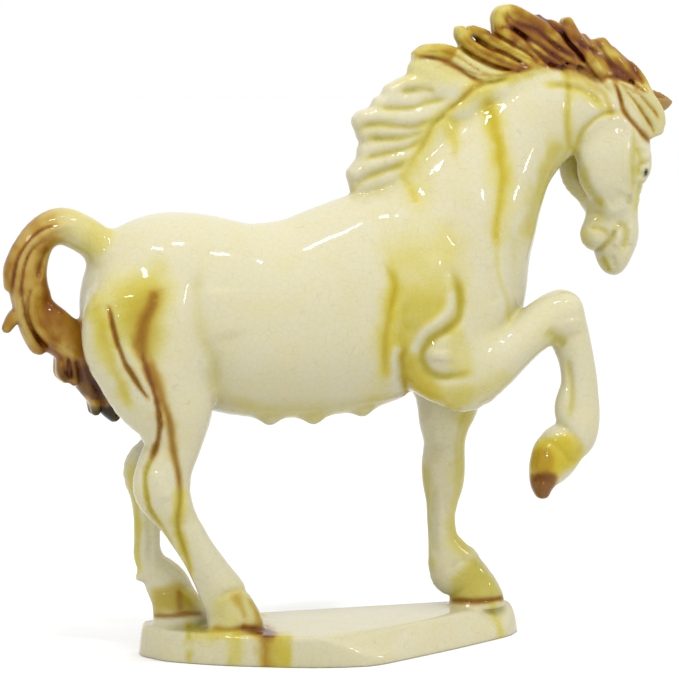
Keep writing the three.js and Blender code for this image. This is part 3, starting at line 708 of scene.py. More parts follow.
def line_distance(places, line):
    """Distance in pixels from a line, and the share of its length at the nearest place."""
    steps = line[1:] - line[:-1]
    squares = np.maximum((steps * steps).sum(1), 1e-9)
    lengths = np.sqrt(squares)
    before = np.r_[0, np.cumsum(lengths)]
    off = places[:, None, :] - line[None, :-1, :]
    t = np.clip((off * steps).sum(2) / squares, 0, 1)
    gaps = ((off - t[:, :, None] * steps) ** 2).sum(2)
    nearest = gaps.argmin(1)
    rows = np.arange(len(places))
    share = (before[nearest] + t[rows, nearest] * lengths[nearest]) / before[-1]
    return np.sqrt(gaps[rows, nearest]), share


def is_inside(places, ring):
    """Whether each place lies inside a closed ring."""
    x, y = places[:, :1], places[:, 1:]
    ax, ay, bx, by = ring[:-1, 0], ring[:-1, 1], ring[1:, 0], ring[1:, 1]
    spans = (ay > y) != (by > y)
    rise = np.where(by == ay, 1e-9, by - ay)
    crosses = spans & (x < (bx - ax) * (y - ay) / rise + ax)
    return crosses.sum(1) % 2 == 1


def on_side(points, side):
    """How far each point lies on one side of the horse, from 0 to 1."""
    off = points[:, 1] - middle_y(points[:, 0])
    return np.clip((side[1] - off) / 4, 0, 1) * np.clip((off - side[0]) / 4, 0, 1)


def near_line(places, line, reach):
    """Which places may lie within reach of a line."""
    low, high = line.min(0) - reach, line.max(0) + reach
    return np.flatnonzero(((places > low) & (places < high)).all(1))


def depth_inside(places, ring):
    """How many mm each place lies inside a closed ring, negative outside it."""
    gap, _ = line_distance(places, ring)
    return np.where(is_inside(places, ring), gap, -gap) * MM_PER_PIXEL


def between_nodes(grid, cell, part):
    """A grid's values at parts of a cell past its nodes. The grid repeats past its end."""
    value = np.zeros(len(cell))
    for corner in np.ndindex(2, 2, 2):
        weight = np.prod(np.where(corner, part, 1 - part), axis=1)
        at = (cell + corner) % grid.shape
        value += weight * grid[at[:, 0], at[:, 1], at[:, 2]]
    return value


# A groove and a run of glaze are nought beyond so many times their half width
REACH = 2.4
CREASE_LOW = np.array([mark["line"].min(0) - REACH * mark["wide"] / MM_PER_PIXEL for mark in ALL_CREASES])
CREASE_HIGH = np.array([mark["line"].max(0) + REACH * mark["wide"] / MM_PER_PIXEL for mark in ALL_CREASES])


def relief(points):
    """How far the creases lower the skin."""
    total = np.zeros(len(points))
    direct = photo_place(points)
    twin = photo_place(near_twin(points))
    low = np.minimum(direct.min(0), twin.min(0))
    high = np.maximum(direct.max(0), twin.max(0))
    for index in np.flatnonzero(((CREASE_LOW < high) & (CREASE_HIGH > low)).all(1)):
        mark = ALL_CREASES[index]
        places = direct if mark["side"] == FAR_LEGS else twin
        wide = mark["wide"] / MM_PER_PIXEL
        chosen = near_line(places, mark["line"], wide * REACH)
        if not len(chosen):
            continue
        gap, share = line_distance(places[chosen], mark["line"])
        fade = smooth_step(np.minimum(share, 1 - share) * 5 + 0.05)
        depth = mark["deep"] * np.exp(-(gap / wide) ** 2) * fade
        total[chosen] += depth * on_side(points[chosen], mark["side"])
    return total


def field(points, chosen):
    """The whole skin's distance at each point, from the forms' chosen segments and the slab."""
    value = forms.melt(points, chosen, np.full(len(points), 50.0))
    value = value + relief(points)
    value = np.maximum(value, HOOF_FOOT - points[:, 2])
    value = soft_min(value, slab_distance(points), HOOF_FILLET)
    return np.maximum(value, -SLAB_THICKNESS - points[:, 2])


class Skin:
    """The skin's distance on a grid, worked out in full only in the blocks that the skin passes."""

    BLOCK = 8
    FAR_OFF = 6.0
    LOWEST = np.array([-160.0, -42.0, -SLAB_THICKNESS - 2.5 * GRID])
    HIGHEST = np.array([176.0, 46.0, 279.0])
    CENTRES_AT_ONCE = 500

    def __init__(self):
        block = self.BLOCK
        self.low = self.LOWEST
        count = np.ceil((self.HIGHEST - self.low) / (GRID * block)).astype(int)
        nodes = np.arange(block) * GRID
        inner = np.stack(np.meshgrid(nodes, nodes, nodes, indexing="ij"), -1).reshape(-1, 3)
        self.grid = np.full(count * block, self.FAR_OFF, np.float32)
        places = np.stack(np.meshgrid(*[np.arange(n) for n in count], indexing="ij"), -1).reshape(-1, 3)
        centres = self.low + (places + 0.5) * block * GRID
        half_diagonal = block * GRID * math.sqrt(3) / 2
        reach = half_diagonal * 1.3 + max(forms.blends)
        everything = np.arange(len(forms.parts["length"]))
        for start in range(0, len(centres), self.CENTRES_AT_ONCE):
            some = centres[start:start + self.CENTRES_AT_ONCE]
            apart = forms.distances(some, everything)
            least = np.minimum(apart.min(1), slab_distance(some))
            for row, centre in enumerate(some):
                i, j, k = places[start + row] * block
                if abs(least[row]) > reach:
                    if least[row] < 0:
                        self.grid[i:i + block, j:j + block, k:k + block] = -self.FAR_OFF
                    continue
                points = inner + (centre - block * GRID / 2)
                value = field(points, np.flatnonzero(apart[row] < reach))
                self.grid[i:i + block, j:j + block, k:k + block] = value.reshape(block, block, block)
        self.grid = np.clip(self.grid, -self.FAR_OFF, self.FAR_OFF)

    def read(self, grid, points):
        """A grid's values between its nodes."""
        place = (points - self.low) / GRID
        cell = np.clip(np.floor(place).astype(int), 0, np.array(grid.shape) - 2)
        return between_nodes(grid, cell, place - cell)

    def slope(self, points):
        """The direction in which the distance grows, and how fast."""
        out = np.zeros(points.shape)
        for axis in range(3):
            step = np.zeros(3)
            step[axis] = GRID * 0.5
            after, before = self.read(self.grid, points + step), self.read(self.grid, points - step)
            out[:, axis] = (after - before) / GRID
        return out

    def hollows(self, reach):
        """How deep each node lies in a hollow of about this reach: the distance, less its blurred self."""
        width = max(1, round(reach / GRID))
        blurred = self.grid
        for axis in range(3):
            padding = [(width + 1, width) if a == axis else (0, 0) for a in range(3)]
            total = np.cumsum(np.pad(blurred, padding, mode="edge"), axis=axis, dtype=np.float64)
            size = self.grid.shape[axis]
            upper = np.take(total, np.arange(size) + 2 * width + 1, axis=axis)
            lower = np.take(total, np.arange(size), axis=axis)
            blurred = ((upper - lower) / (2 * width + 1)).astype(np.float32)
        return self.grid - blurred

    def mesh(self):
        """One closed mesh of quads along the zero level, each vertex drawn onto it."""
        inside = self.grid < 0
        shape = np.array(self.grid.shape) - 1
        offsets = list(np.ndindex(2, 2, 2))
        total = np.zeros(shape, np.int8)
        for i, j, k in offsets:
            total += inside[i:shape[0] + i, j:shape[1] + j, k:shape[2] + k]
        active = (total > 0) & (total < 8)
        cells = np.argwhere(active)
        x, y, z = cells.T
        values = np.stack([self.grid[x + i, y + j, z + k] for i, j, k in offsets], 1)
        place = np.zeros((len(cells), 3))
        hits = np.zeros(len(cells))
        for a, b in itertools.combinations(range(8), 2):
            step = np.array(offsets[b]) - np.array(offsets[a])
            if np.abs(step).sum() != 1:
                continue
            crosses = (values[:, a] < 0) != (values[:, b] < 0)
            share = values[crosses, a] / (values[crosses, a] - values[crosses, b])
            place[crosses] += np.array(offsets[a]) + share[:, None] * step
            hits[crosses] += 1
        vertices = self.low + (cells + place / hits[:, None]) * GRID
        index = np.full(active.shape, -1, np.int64)
        index[active] = np.arange(len(cells))
        quads = []
        for axis in range(3):
            turned = (axis, (axis + 1) % 3, (axis + 2) % 3)
            solid = np.moveaxis(inside, turned, (0, 1, 2))
            cell = np.moveaxis(index, turned, (0, 1, 2))
            here, there = solid[:-1, 1:-1, 1:-1], solid[1:, 1:-1, 1:-1]
            around = [cell[:, :-1, :-1], cell[:, 1:, :-1], cell[:, 1:, 1:], cell[:, :-1, 1:]]
            for leaving, order in ((here & ~there, (0, 1, 2, 3)), (~here & there, (3, 2, 1, 0))):
                quads.append(np.stack([around[n][leaving] for n in order], 1))
        return self.drawn_in(vertices), np.concatenate(quads)

    def drawn_in(self, vertices):
        """Vertices moved onto the zero level, except on the flat underside."""
        free = vertices[:, 2] > -SLAB_THICKNESS + 1.5 * GRID
        moved = vertices.copy()
        slope = self.slope(moved[free])
        steep = np.maximum((slope * slope).sum(1), 0.2)
        shift = slope * (self.read(self.grid, moved[free]) / steep)[:, None]
        moved[free] -= np.clip(shift, -0.5 * GRID, 0.5 * GRID)
        return moved


def outer_skin(vertices, quads):
    """The largest closed surface, without the small bubbles that close up inside it."""
    label = np.arange(len(vertices))
    settled = False
    while not settled:
        before = label.copy()
        least = label[quads].min(1)
        for corner in range(4):
            np.minimum.at(label, quads[:, corner], least)
        label = label[label]
        settled = (label == before).all()
    owner = label[quads[:, 0]]
    names, sizes = np.unique(owner, return_counts=True)
    used, kept = np.unique(quads[owner == names[sizes.argmax()]], return_inverse=True)
    return vertices[used], kept.reshape(-1, 4)


def mesh_object(name, vertices, faces):
    """A new smooth object of these vertices and faces."""
    mesh = bpy.data.meshes.new(name)
    mesh.from_pydata(vertices.tolist(), [], faces.tolist())
    mesh.polygons.foreach_set("use_smooth", np.ones(len(faces), bool))
    mesh.update()
    thing = bpy.data.objects.new(name, mesh)
    bpy.context.scene.collection.objects.link(thing)
    return thing


def thinned(thing, most):
    """Takes triangles out where the skin is nearly flat, until no more than this many are left."""
    triangles = len(thing.data.polygons) * 2
    if triangles > most:
        modifier = thing.modifiers.new("thin", "DECIMATE")
        modifier.ratio = most / triangles
        evaluated = thing.evaluated_get(bpy.context.evaluated_depsgraph_get())
        mesh = bpy.data.meshes.new_from_object(evaluated)
        thing.modifiers.clear()
        thing.data = mesh
    return thing


def with_short_edges(thing, longest):
    """Splits the edges of the flat faces, so that the painted colours are not smeared over them."""
    shape = bmesh.new()
    shape.from_mesh(thing.data)
    for _ in range(5):
        long_edges = [edge for edge in shape.edges if edge.calc_length() > longest]
        if not long_edges:
            break
        bmesh.ops.subdivide_edges(shape, edges=long_edges, cuts=1)
        bmesh.ops.triangulate(shape, faces=[face for face in shape.faces if len(face.verts) > 3])
    shape.to_mesh(thing.data)
    shape.free()


# How much of each of the red, green and blue light a layer of each glaze takes
GLAZES = {
    "yellow": np.array([0.08, 0.15, 1.15]),
    "amber": np.array([0.74, 1.45, 3.4]),
    "purple": np.array([0.75, 1.30, 1.45]),
    "olive": np.array([0.27, 0.30, 0.95]),
    "black": np.array([2.3, 2.05, 2.2]),
}
IVORY = np.array([0.422, 0.392, 0.266])

SHOULDER_WASH = [
    (384, 250), (396, 236), (420, 228), (448, 232), (462, 246), (462, 275), (458, 300), (459, 316),
    (450, 324), (440, 332), (430, 342), (418, 351), (400, 353), (391, 345), (392, 320), (394, 300),
    (390, 280), (384, 262),
]
RUMP_WASH = [
    (112, 286), (130, 272), (148, 267), (164, 270), (167, 288), (164, 315), (160, 337), (156, 355),
    (149, 364), (142, 362), (131, 349), (120, 335), (112, 319), (108, 304),
]

# Runs and patches of glaze, with how much lies there of each glaze. A negative amount takes glaze away.
MARKS = {
    # Rump, thighs and hocks
    "rump wash": patch(NEAR, 8, RUMP_WASH, yellow=0.55, olive=0.3),
    "rump wash, far": patch(FAR, 9, RUMP_WASH, yellow=0.5),
    "rump pool": patch(BOTH, 6, [(118, 302), (140, 286), (166, 288), (163, 318), (156, 348), (146, 362),
        (134, 352), (120, 330)], yellow=0.6, olive=0.4),
    "rump core": patch(NEAR, 5, [(134, 308), (148, 292), (160, 292), (157, 320), (150, 348), (143, 360),
        (136, 348)], amber=0.22),
    "pale wash": patch(BOTH, 4, [(92, 297), (104, 296), (107, 318), (104, 340), (97, 334)], yellow=0.5),
    "brown wedge": patch(NEAR, 2.2, [(150, 292), (158, 292), (157, 304), (151, 320), (147, 336),
        (145, 355), (141, 362), (136, 352), (133, 344), (138, 328), (143, 313), (147, 299)], amber=0.7),
    "thigh": run(NEAR, (0.8, 0.8), THIGH_LINE, amber=1.2, purple=0.05),
    "thigh, far": run(FAR, (1.2, 1.0), THIGH_LINE, yellow=1.0, amber=0.3),
    "hamstring": run(NEAR, (1.0, 0.9), HAMSTRING_LINE[:6], amber=1.2, purple=0.05),
    "hamstring, low": run(NEAR, (0.9, 0.8), HAMSTRING_LINE[5:], yellow=1.0, olive=0.7),
    "gaskin": run(NEAR, (1.9, 1.3), GASKIN_LINE[:7], amber=0.75, yellow=0.4),
    "gaskin, low": run(NEAR, (1.9, 1.3), GASKIN_LINE[6:], yellow=1.7, olive=0.2),
    "gaskin edge": run(NEAR, (0.6, 0.6), GASKIN_LINE[5:], olive=0.5, amber=0.1),
    "gaskin, far": run(FAR, (1.8, 1.3), GASKIN_LINE, yellow=1.1),
    "buttock": run(BOTH, (3.6, 1.8), [(94, 304), (101, 326), (107, 346), (114, 369), (122, 389),
        (130, 408)], yellow=1.0, olive=0.25),
    "flank": run(BOTH, (2.0, 2.0), FLANK_LINE[2:], olive=0.1),
    # Shoulder and elbow
    "shoulder wash": patch(NEAR, 9, SHOULDER_WASH, yellow=0.5),
    "shoulder wash, far": patch(FAR, 10, SHOULDER_WASH, yellow=0.55),
    "shoulder pool": patch(NEAR, 6, [(391, 292), (403, 286), (412, 300), (410, 325), (404, 350),
        (394, 352), (389, 330)], yellow=0.5),
    "front pool": patch(NEAR, 8, [(420, 288), (440, 286), (456, 292), (455, 309), (442, 322), (424, 318)],
        yellow=0.55, olive=0.05),
    "shoulder strip": run(NEAR, (3.0, 2.6), [(394, 268), (393, 298), (389, 321), (386, 341), (386, 362),
        (387, 380)], yellow=1.4),
    "shoulder back": run(NEAR, (0.8, 0.8), SHOULDER_BACK_LINE, olive=0.2, amber=0.04),
    "muscle": patch(NEAR, 5, [(407, 295), (427, 292), (438, 301), (435, 318), (418, 341), (402, 350),
        (399, 335)], yellow=0.6, olive=0.3),
    "pale strip": run(NEAR, (1.6, 2.2), [(397, 345), (395, 362), (396, 384)], yellow=-1.2),
    "pale ridge": run(NEAR, (2.0, 1.8), [(450, 290), (450, 306), (442, 318), (428, 328), (417, 342),
        (413, 356)], yellow=-0.9, olive=-0.3),
    "elbow": run(NEAR, (1.9, 1.2), ELBOW_LINE[1:], olive=0.75, yellow=0.6),
    "elbow back": run(NEAR, (1.2, 1.6), ELBOW_BACK_LINE, olive=0.25, yellow=0.8, amber=0.08),
    "below the elbow": patch(NEAR, 2.2, [(402, 356), (416, 352), (422, 368), (433, 380), (455, 387),
        (471, 385), (472, 401), (456, 410), (428, 402), (409, 390)], yellow=0.75),
    "under the elbow": patch(NEAR, 3.5, [(402, 358), (414, 352), (420, 370), (434, 384), (438, 398),
        (424, 398), (408, 388)], yellow=0.8, amber=0.05),
    "beside the elbow": patch(NEAR, 3, [(447, 330), (463, 327), (469, 350), (470, 372), (453, 372),
        (448, 350)], yellow=0.5, olive=0.05),
    "arm to chest": run(NEAR, (3.5, 2.5), [(474, 392), (492, 386), (508, 372)], yellow=0.4),
    # Neck, throat and chest
    "mane foot": run(BOTH, (2.4, 2.4), MANE_FOOT_LINE, yellow=0.85),
    "mane foot, brown": run(BOTH, (0.8, 0.8), MANE_FOOT_LINE[4:9], amber=0.25, olive=0.2),
    "below the mane": run(BOTH, (1.5, 0.9), [(401, 173), (405, 180), (411, 188), (417, 204)],
        yellow=0.9),
    "withers wash": patch(NEAR, 6, [(404, 168), (424, 150), (436, 160), (430, 190), (424, 215),
        (410, 205)], yellow=0.3),
    "small drip": run(NEAR, (2.6, 1.3), [(449, 114), (452, 130), (455, 144), (456, 157)], yellow=0.9,
        olive=0.1),
    "neck drip": run(NEAR, (2.4, 1.4), NECK_DRIP_LINE, yellow=1.5, olive=0.25),
    "drip wash": patch(NEAR, 5, [(478, 92), (494, 92), (506, 130), (512, 180), (508, 230), (494, 240),
        (488, 190), (486, 130)], yellow=0.45),
    "neck drip, foot": run(NEAR, (1.2, 0.8), [(496, 240), (497, 262), (500, 280), (507, 300), (509, 322)],
        yellow=0.5, olive=0.2),
    "neck drip, far": run(FAR, (2.6, 1.5), NECK_DRIP_LINE, yellow=1.1),
    "throat": run(BOTH, (1.5, 1.5), THROAT_LINE, yellow=0.7, olive=0.35),
    "windpipe": run(BOTH, (3.2, 3.0), [(560, 140), (549, 168), (540, 192), (532, 216), (526, 240)],
        yellow=0.7, olive=0.5),
    # Head
    "jaw": run(BOTH, (1.7, 1.5), JAW_LINE, olive=0.45, yellow=0.6),
    "throat side": run(BOTH, (3.0, 2.6), [(566, 172), (575, 186), (583, 200), (589, 212)], yellow=0.6,
        olive=0.1),
    "cheek top": run(BOTH, (1.1, 1.1), CHEEK_TOP_LINE, yellow=0.6, olive=0.15),
    "poll arc": run(BOTH, (1.6, 1.8), POLL_ARC_LINE, yellow=1.0, olive=0.1),
    "outer arc": run(BOTH, (1.2, 1.4), [(564, 74), (580, 78), (594, 86), (604, 94), (609, 106),
        (612, 116)], yellow=1.0, amber=0.15),
    "face": run(BOTH, (0.9, 0.9), FACE_LINE, yellow=0.5, olive=0.1),
    "brow": run(BOTH, (0.9, 0.9), BROW_LINE, yellow=0.5, olive=0.2),
    "eye lid": run(BOTH, (0.6, 0.6), [(640.5, 165), (643.5, 162.5), (647, 163.5)], olive=0.6),
    "tear line": run(BOTH, (1.1, 0.9), [(643, 181), (638.5, 188), (637, 199), (637, 211)], yellow=0.9),
    "mouth": run(BOTH, (0.8, 0.8), MOUTH_LINE, olive=0.6, amber=0.05),
    "nostril": run(BOTH, (1.2, 1.2), NOSTRIL_LINE, olive=0.5),
    "chin wash": patch(BOTH, 2, [(584, 206), (592, 210), (594, 226), (592, 246), (583, 247), (579, 238),
        (581, 226)], yellow=0.2),
    "chin side": run(BOTH, (1.6, 1.6), [(585, 229), (583, 238), (585, 245)], yellow=0.6),
    "chin stripe": run(BOTH, (1.8, 1.8), [(600, 199), (600, 211), (599, 223)], yellow=0.45),
    "chin fold": run(BOTH, (0.8, 0.8), [(588, 227.5), (599, 229), (606, 233)], yellow=0.5, olive=0.15),
    "lip": run(BOTH, (0.9, 0.8), [(603, 257), (607, 265), (610, 271)], olive=0.8, yellow=0.6),
    # Belly and legs
    "belly": run(BOTH, (3, 3), [(228, 400), (262, 411), (302, 416), (348, 410), (384, 395)],
        yellow=0.45),
    "far foreleg front": run(FAR_LEGS, (3.2, 3.0), [(468, 408), (465, 440), (464, 470), (458, 500),
        (456, 518), (461, 540), (472, 556)], yellow=1.0, olive=0.1),
    "far foreleg back": run(FAR_LEGS, (1.8, 1.6), [(424, 462), (425, 505), (427, 545), (432, 568)],
        olive=0.6, yellow=0.3),
    "far knee": run(FAR_LEGS, (4.5, 4), [(438, 448), (439, 464)], olive=0.25),
    "far hock": run(FAR_LEGS, (1.6, 1.5), [(128, 470), (135, 500), (138, 529), (137, 556), (139, 575)],
        yellow=0.9, olive=0.15),
    "far hock pool": run(FAR_LEGS, (3.5, 3), [(134, 462), (140, 480)], yellow=0.5),
    "raised knee": run(NEAR, (2.2, 2.0), [(545, 331), (555, 337), (566, 346)], olive=0.4, yellow=0.3),
    "raised cannon": run(NEAR, (1.4, 1.2), [(568, 358), (571, 378), (572, 398), (570, 418)], olive=0.3,
        yellow=0.3),
    # Hooves
    "far hind hoof": patch(FAR_LEGS, 3.5, [(155, 590), (172, 586), (188, 590), (197, 604), (190, 612),
        (170, 613), (153, 611)], yellow=0.9, olive=0.6, amber=0.16),
    "far hind streak": run(FAR_LEGS, (1.2, 1.2), [(179, 590), (179, 600), (180, 610)], amber=0.4,
        purple=0.1),
    "far hind rim": run(FAR_LEGS, (0.9, 0.9), [(152, 615.5), (170, 616), (186, 613.5), (202, 614)],
        amber=0.4, purple=0.35),
    "far fore hoof": patch(FAR_LEGS, 2.4, [(450, 598), (452, 580), (462, 568), (478, 562), (492, 576),
        (504, 596), (490, 600), (470, 601)], yellow=0.75, olive=0.5),
    "far fore rim": run(FAR_LEGS, (0.9, 0.9), [(450, 600), (470, 601.5), (490, 600), (506, 597)],
        amber=0.8, purple=0.4),
    "near hoof": patch(NEAR, 3, [(213, 602), (226, 592), (246, 590), (256, 602), (263, 622), (250, 628),
        (228, 628), (211, 622)], yellow=0.5),
    "near hoof, amber": run(NEAR, (1.8, 1.2), [(234, 594), (240, 604), (245, 618)], amber=0.28,
        yellow=0.5),
    "near hoof, front": run(NEAR, (1.2, 1.2), [(252, 598), (257, 612), (262, 626)], amber=0.3,
        yellow=0.5),
    "near hoof, foot": run(NEAR, (1.7, 1.3), [(240, 628), (252, 629), (263, 630), (272, 631)], purple=0.9,
        amber=0.5),
    "near hoof, rim": run(NEAR, (1.0, 1.0), [(212, 628), (228, 630), (242, 629)], amber=0.3, yellow=0.6),
    "raised hoof": patch(NEAR, 2.4, [(548, 436), (568, 434), (582, 446), (580, 460), (566, 470),
        (548, 482), (533, 480), (530, 460), (537, 442)], yellow=1.8, olive=0.05),
    "raised hoof, amber": patch(NEAR, 2, [(533, 450), (546, 447), (554, 456), (551, 471), (536, 474),
        (531, 462)], amber=0.35),
    "raised toe": patch(NEAR, 1.6, [(530, 475), (548, 472), (557, 478), (550, 500), (536, 500),
        (529, 486)], purple=0.8, amber=0.55),
    # Slab
    "slab, left": run(BOTH, (0.9, 0.9), [(189, 622), (189, 640), (189, 662)], yellow=1.1, olive=0.4),
    "slab, middle": run(BOTH, (2.4, 2.6), [(236, 628), (236, 646), (236, 668)], yellow=0.8, olive=0.15),
    "slab pool": patch(BOTH, 1.2, [(261, 632), (276, 631), (290, 633), (292, 650), (291, 668), (262, 668),
        (260, 650)], yellow=1.4, olive=0.15),
    "slab pool edge": run(BOTH, (2.6, 2.6), [(267, 631), (266, 650), (267, 668)], amber=0.45,
        purple=0.1),
    "slab spot": run(BOTH, (1.4, 1.4), [(263, 633.5), (275, 633.5)], purple=0.9, amber=0.4),
    "slab top edge": run(BOTH, (2.2, 2.2), [(192, 632), (215, 634), (240, 635), (262, 633)], yellow=0.9),
    "slab right": run(BOTH, (1.9, 1.7), [(498, 600), (500, 618), (502, 640)], yellow=1.2),
}
MANE_BAND = [(545, 64), (562, 66), (575, 65), (589, 68), (600, 75), (606, 82), (598, 81), (586, 77),
             (570, 71), (552, 69)]
PUPIL_LINE = [(646.4, 169.5), (645.8, 172.5), (645.2, 175)]
ALL_MARKS = list(MARKS.values()) + [patch(BOTH, 1.6, MANE_BAND, amber=0.7, purple=0.3)]
ALL_MARKS += [run(side, (0.45, 0.4), PUPIL_LINE, black=2.4) for side in EYE_SIDES]
for lines, _, widths, glazes in LINE_SETS.values():
    ALL_MARKS += [run(BOTH, widths, line, **glazes) for line in lines]
for line in (TAIL_OUTER_LINE, TAIL_INNER_LINE):
    ALL_MARKS.append(run(BOTH, (0.7, 0.7), line, amber=0.45, purple=0.15))

# Where the mane is amber, and how brown it is there at places along it, in photo pixels
AMBER_OUTLINE = [
    (408, 47), (418, 56.5), (435, 59), (445, 62), (452, 60), (457, 50), (463, 49), (474, 57.5),
    (488, 64.5), (505, 70), (524, 71), (546, 67), (564, 69), (586, 74), (600, 81), (616, 80), (634, 85),
    (650, 94), (662, 92), (650, 55), (612, 15), (570, -6), (500, -4), (440, 15), (400, 35),
]
MANE_BROWN_AT = [410, 440, 470, 520, 560, 600, 660]
MANE_BROWN = [0.42, 0.22, 0.3, 0.46, 0.6, 0.42, 0.42]
# Where the mane's and the tail's own glazes may lie, in mm, and where the cream of the mane turns yellow
MANE_FROM_X = -6
MANE_FROM_Z = 184
TAIL_TO_X = -96
YELLOW_CREST_Z = 234

# The glaze's unevenness: size and seed of its lumps, and how far it moves the marks, in pixels
NOISE_LUMPS = 24
COARSE_LUMPS = (9, 3)
FINE_LUMPS = (3.5, 4)
WANDER_SIZE = 7
WANDER_SEEDS = (11, 12)
WANDER_PIXELS = 9
POINTS_AT_ONCE = 4000


def value_noise(points, size, seed):
    """Smooth noise from 0 to 1 whose lumps are about this size. It repeats after so many lumps."""
    lattice = np.random.default_rng(seed).random((NOISE_LUMPS,) * 3)
    place = points / size
    cell = np.floor(place).astype(int)
    return between_nodes(lattice, cell, smooth_step(place - cell))


def nearest_of(points, *names):
    """Distance from the forms whose names start so."""
    chosen = forms.named(*names)
    out = np.empty(len(points))
    for start in range(0, len(points), POINTS_AT_ONCE):
        some = slice(start, start + POINTS_AT_ONCE)
        out[some] = forms.distances(points[some], chosen).min(1)
    return out


def mane_glazes(points, places, amounts, hollow, drift):
    """Cream below and amber above, darkest in the hollows between the locks."""
    chosen = np.flatnonzero((points[:, 0] > MANE_FROM_X) & (points[:, 2] > MANE_FROM_Z))
    at, deep, noise, spot = points[chosen], hollow[chosen], drift[chosen], places[chosen]
    neck = nearest_of(at, "barrel", "neck", "skull", "near shoulder")
    locks = nearest_of(at, "cream", "amber", "crest")
    falling = nearest_of(at, "forelock")
    ear = nearest_of(at, "ear")
    mane = np.minimum(locks, falling)
    on_mane = smooth_step((neck - mane) / 1.0 + 0.3)
    gap = depth_inside(spot, catmull_rom(AMBER_OUTLINE + AMBER_OUTLINE[:1], 2))
    is_falling = smooth_step((locks - falling) / 1.0 + 0.5) * on_mane
    is_amber = smooth_step(gap / 2.0 + 0.5) * on_mane * (1 - 0.8 * is_falling)
    brown = np.interp(spot[:, 0], MANE_BROWN_AT, MANE_BROWN)
    amounts["amber"][chosen] += is_amber * brown * (0.2 + 1.6 * noise + 0.8 * deep)
    amounts["yellow"][chosen] += is_amber * (1.1 + 0.7 * noise)
    amounts["purple"][chosen] += is_amber * brown * 0.1 * deep
    is_cream = on_mane * (1 - is_amber) * (1 - is_falling)
    high = smooth_step((at[:, 2] - YELLOW_CREST_Z) / 8)
    amounts["yellow"][chosen] += is_cream * (0.25 * deep + 0.45 * high)
    amounts["olive"][chosen] += is_cream * deep * 0.4
    amounts["amber"][chosen] += is_falling * deep * 0.4
    amounts["yellow"][chosen] += is_falling * (0.3 + 0.3 * deep)
    on_ear = smooth_step((np.minimum(neck, mane) - ear) / 1.0 + 0.5)
    amounts["amber"][chosen] += on_ear * 0.35
    amounts["purple"][chosen] += on_ear * 0.35


def tail_glazes(points, amounts, hollow, drift):
    """Yellow at the root, then brown, orange inside the bend, and nearly black at the tip."""
    chosen = np.flatnonzero(points[:, 0] < TAIL_TO_X)
    place, deep, noise = points[chosen], hollow[chosen], drift[chosen]
    tail = nearest_of(place, "tail")
    body = nearest_of(place, "barrel", "near hind", "far hind")
    on_tail = smooth_step((body - tail) / 5 + 0.5)
    root = smooth_step((place[:, 0] + 141) / 20) * smooth_step((place[:, 2] - 152) / 12)
    brown = on_tail * (1 - root)
    amounts["yellow"][chosen] += on_tail * (0.3 + 0.4 * noise)
    amounts["amber"][chosen] += brown * (0.36 + 0.45 * noise + 0.45 * deep)
    amounts["purple"][chosen] += brown * np.clip(0.07 + 0.5 * (noise - 0.65) + 0.15 * deep, 0, 1)
    gap, _ = line_distance(place[:, [0, 2]], np.array(TAIL_PANEL, float))
    amounts["amber"][chosen] += brown * 0.5 * smooth_step((9 - gap) / 5)
    low = smooth_step((122 - place[:, 2]) / 10) * on_tail
    amounts["purple"][chosen] += low * (0.05 + 0.2 * deep)
    tip = smooth_step((101.5 - place[:, 2]) / 3) * smooth_step((-100 - place[:, 0]) / 3) * on_tail
    amounts["black"][chosen] += tip * 0.75
    amounts["black"][chosen] += low * smooth_step((noise - 0.7) / 0.1) * 0.25


def mark_weight(mark, places, noise, wander):
    """How much of a run's or a patch's glaze lies at each place."""
    if "soft" in mark:
        strayed = places + wander * min(1, mark["soft"] / 4)
        return smooth_step(0.5 + depth_inside(strayed, mark["line"]) / (2 * mark["soft"]))
    gap, share = line_distance(places + wander * min(1, max(mark["wide"]) / 8), mark["line"])
    wide = mark["wide"][0] + (mark["wide"][1] - mark["wide"][0]) * share
    ends = smooth_step(np.minimum(share, 1 - share) * 8 + 0.35)
    return np.exp(-0.7 * (gap * MM_PER_PIXEL / (wide * (0.75 + 0.5 * noise))) ** 2) * ends


def glaze_colours(points, skin):
    """The glaze's colour at each point: layers of coloured glass over the ivory body."""
    hollow = np.clip(skin.read(skin.hollows(1.8), points) * 2.6, 0, 1)
    wide_hollow = np.clip(skin.read(skin.hollows(5.0), points) * 0.5, 0, 1)
    drift = value_noise(points, *COARSE_LUMPS) * 0.6 + value_noise(points, *FINE_LUMPS) * 0.4
    drift = smooth_step((drift - 0.25) * 2)
    stray = [value_noise(points, WANDER_SIZE, seed) - 0.5 for seed in WANDER_SEEDS]
    wander = np.stack(stray, 1) * WANDER_PIXELS
    direct = photo_place(points)
    twin = photo_place(near_twin(points))
    amounts = {name: np.zeros(len(points)) for name in GLAZES}
    for mark in ALL_MARKS:
        places = direct if mark["side"] == FAR_LEGS else twin
        reach = (mark["soft"] if "soft" in mark else REACH * max(mark["wide"])) / MM_PER_PIXEL + 6
        chosen = near_line(places, mark["line"], reach)
        weight = mark_weight(mark, places[chosen], drift[chosen], wander[chosen])
        weight = weight * on_side(points[chosen], mark["side"])
        for name, amount in mark["glazes"].items():
            amounts[name][chosen] += amount * weight
    body = amounts["yellow"] * (0.8 + 0.4 * drift + 0.6 * wide_hollow)
    amounts["yellow"] = body + 0.1 * drift + 0.25 * wide_hollow
    amounts["olive"] += 0.25 * wide_hollow + 0.25 * hollow
    mane_glazes(points, twin, amounts, hollow, drift)
    tail_glazes(points, amounts, hollow, drift)
    colour = np.tile(IVORY, (len(points), 1))
    for name, takes in GLAZES.items():
        colour *= np.exp(-np.maximum(amounts[name], 0)[:, None] * takes)
    return colour


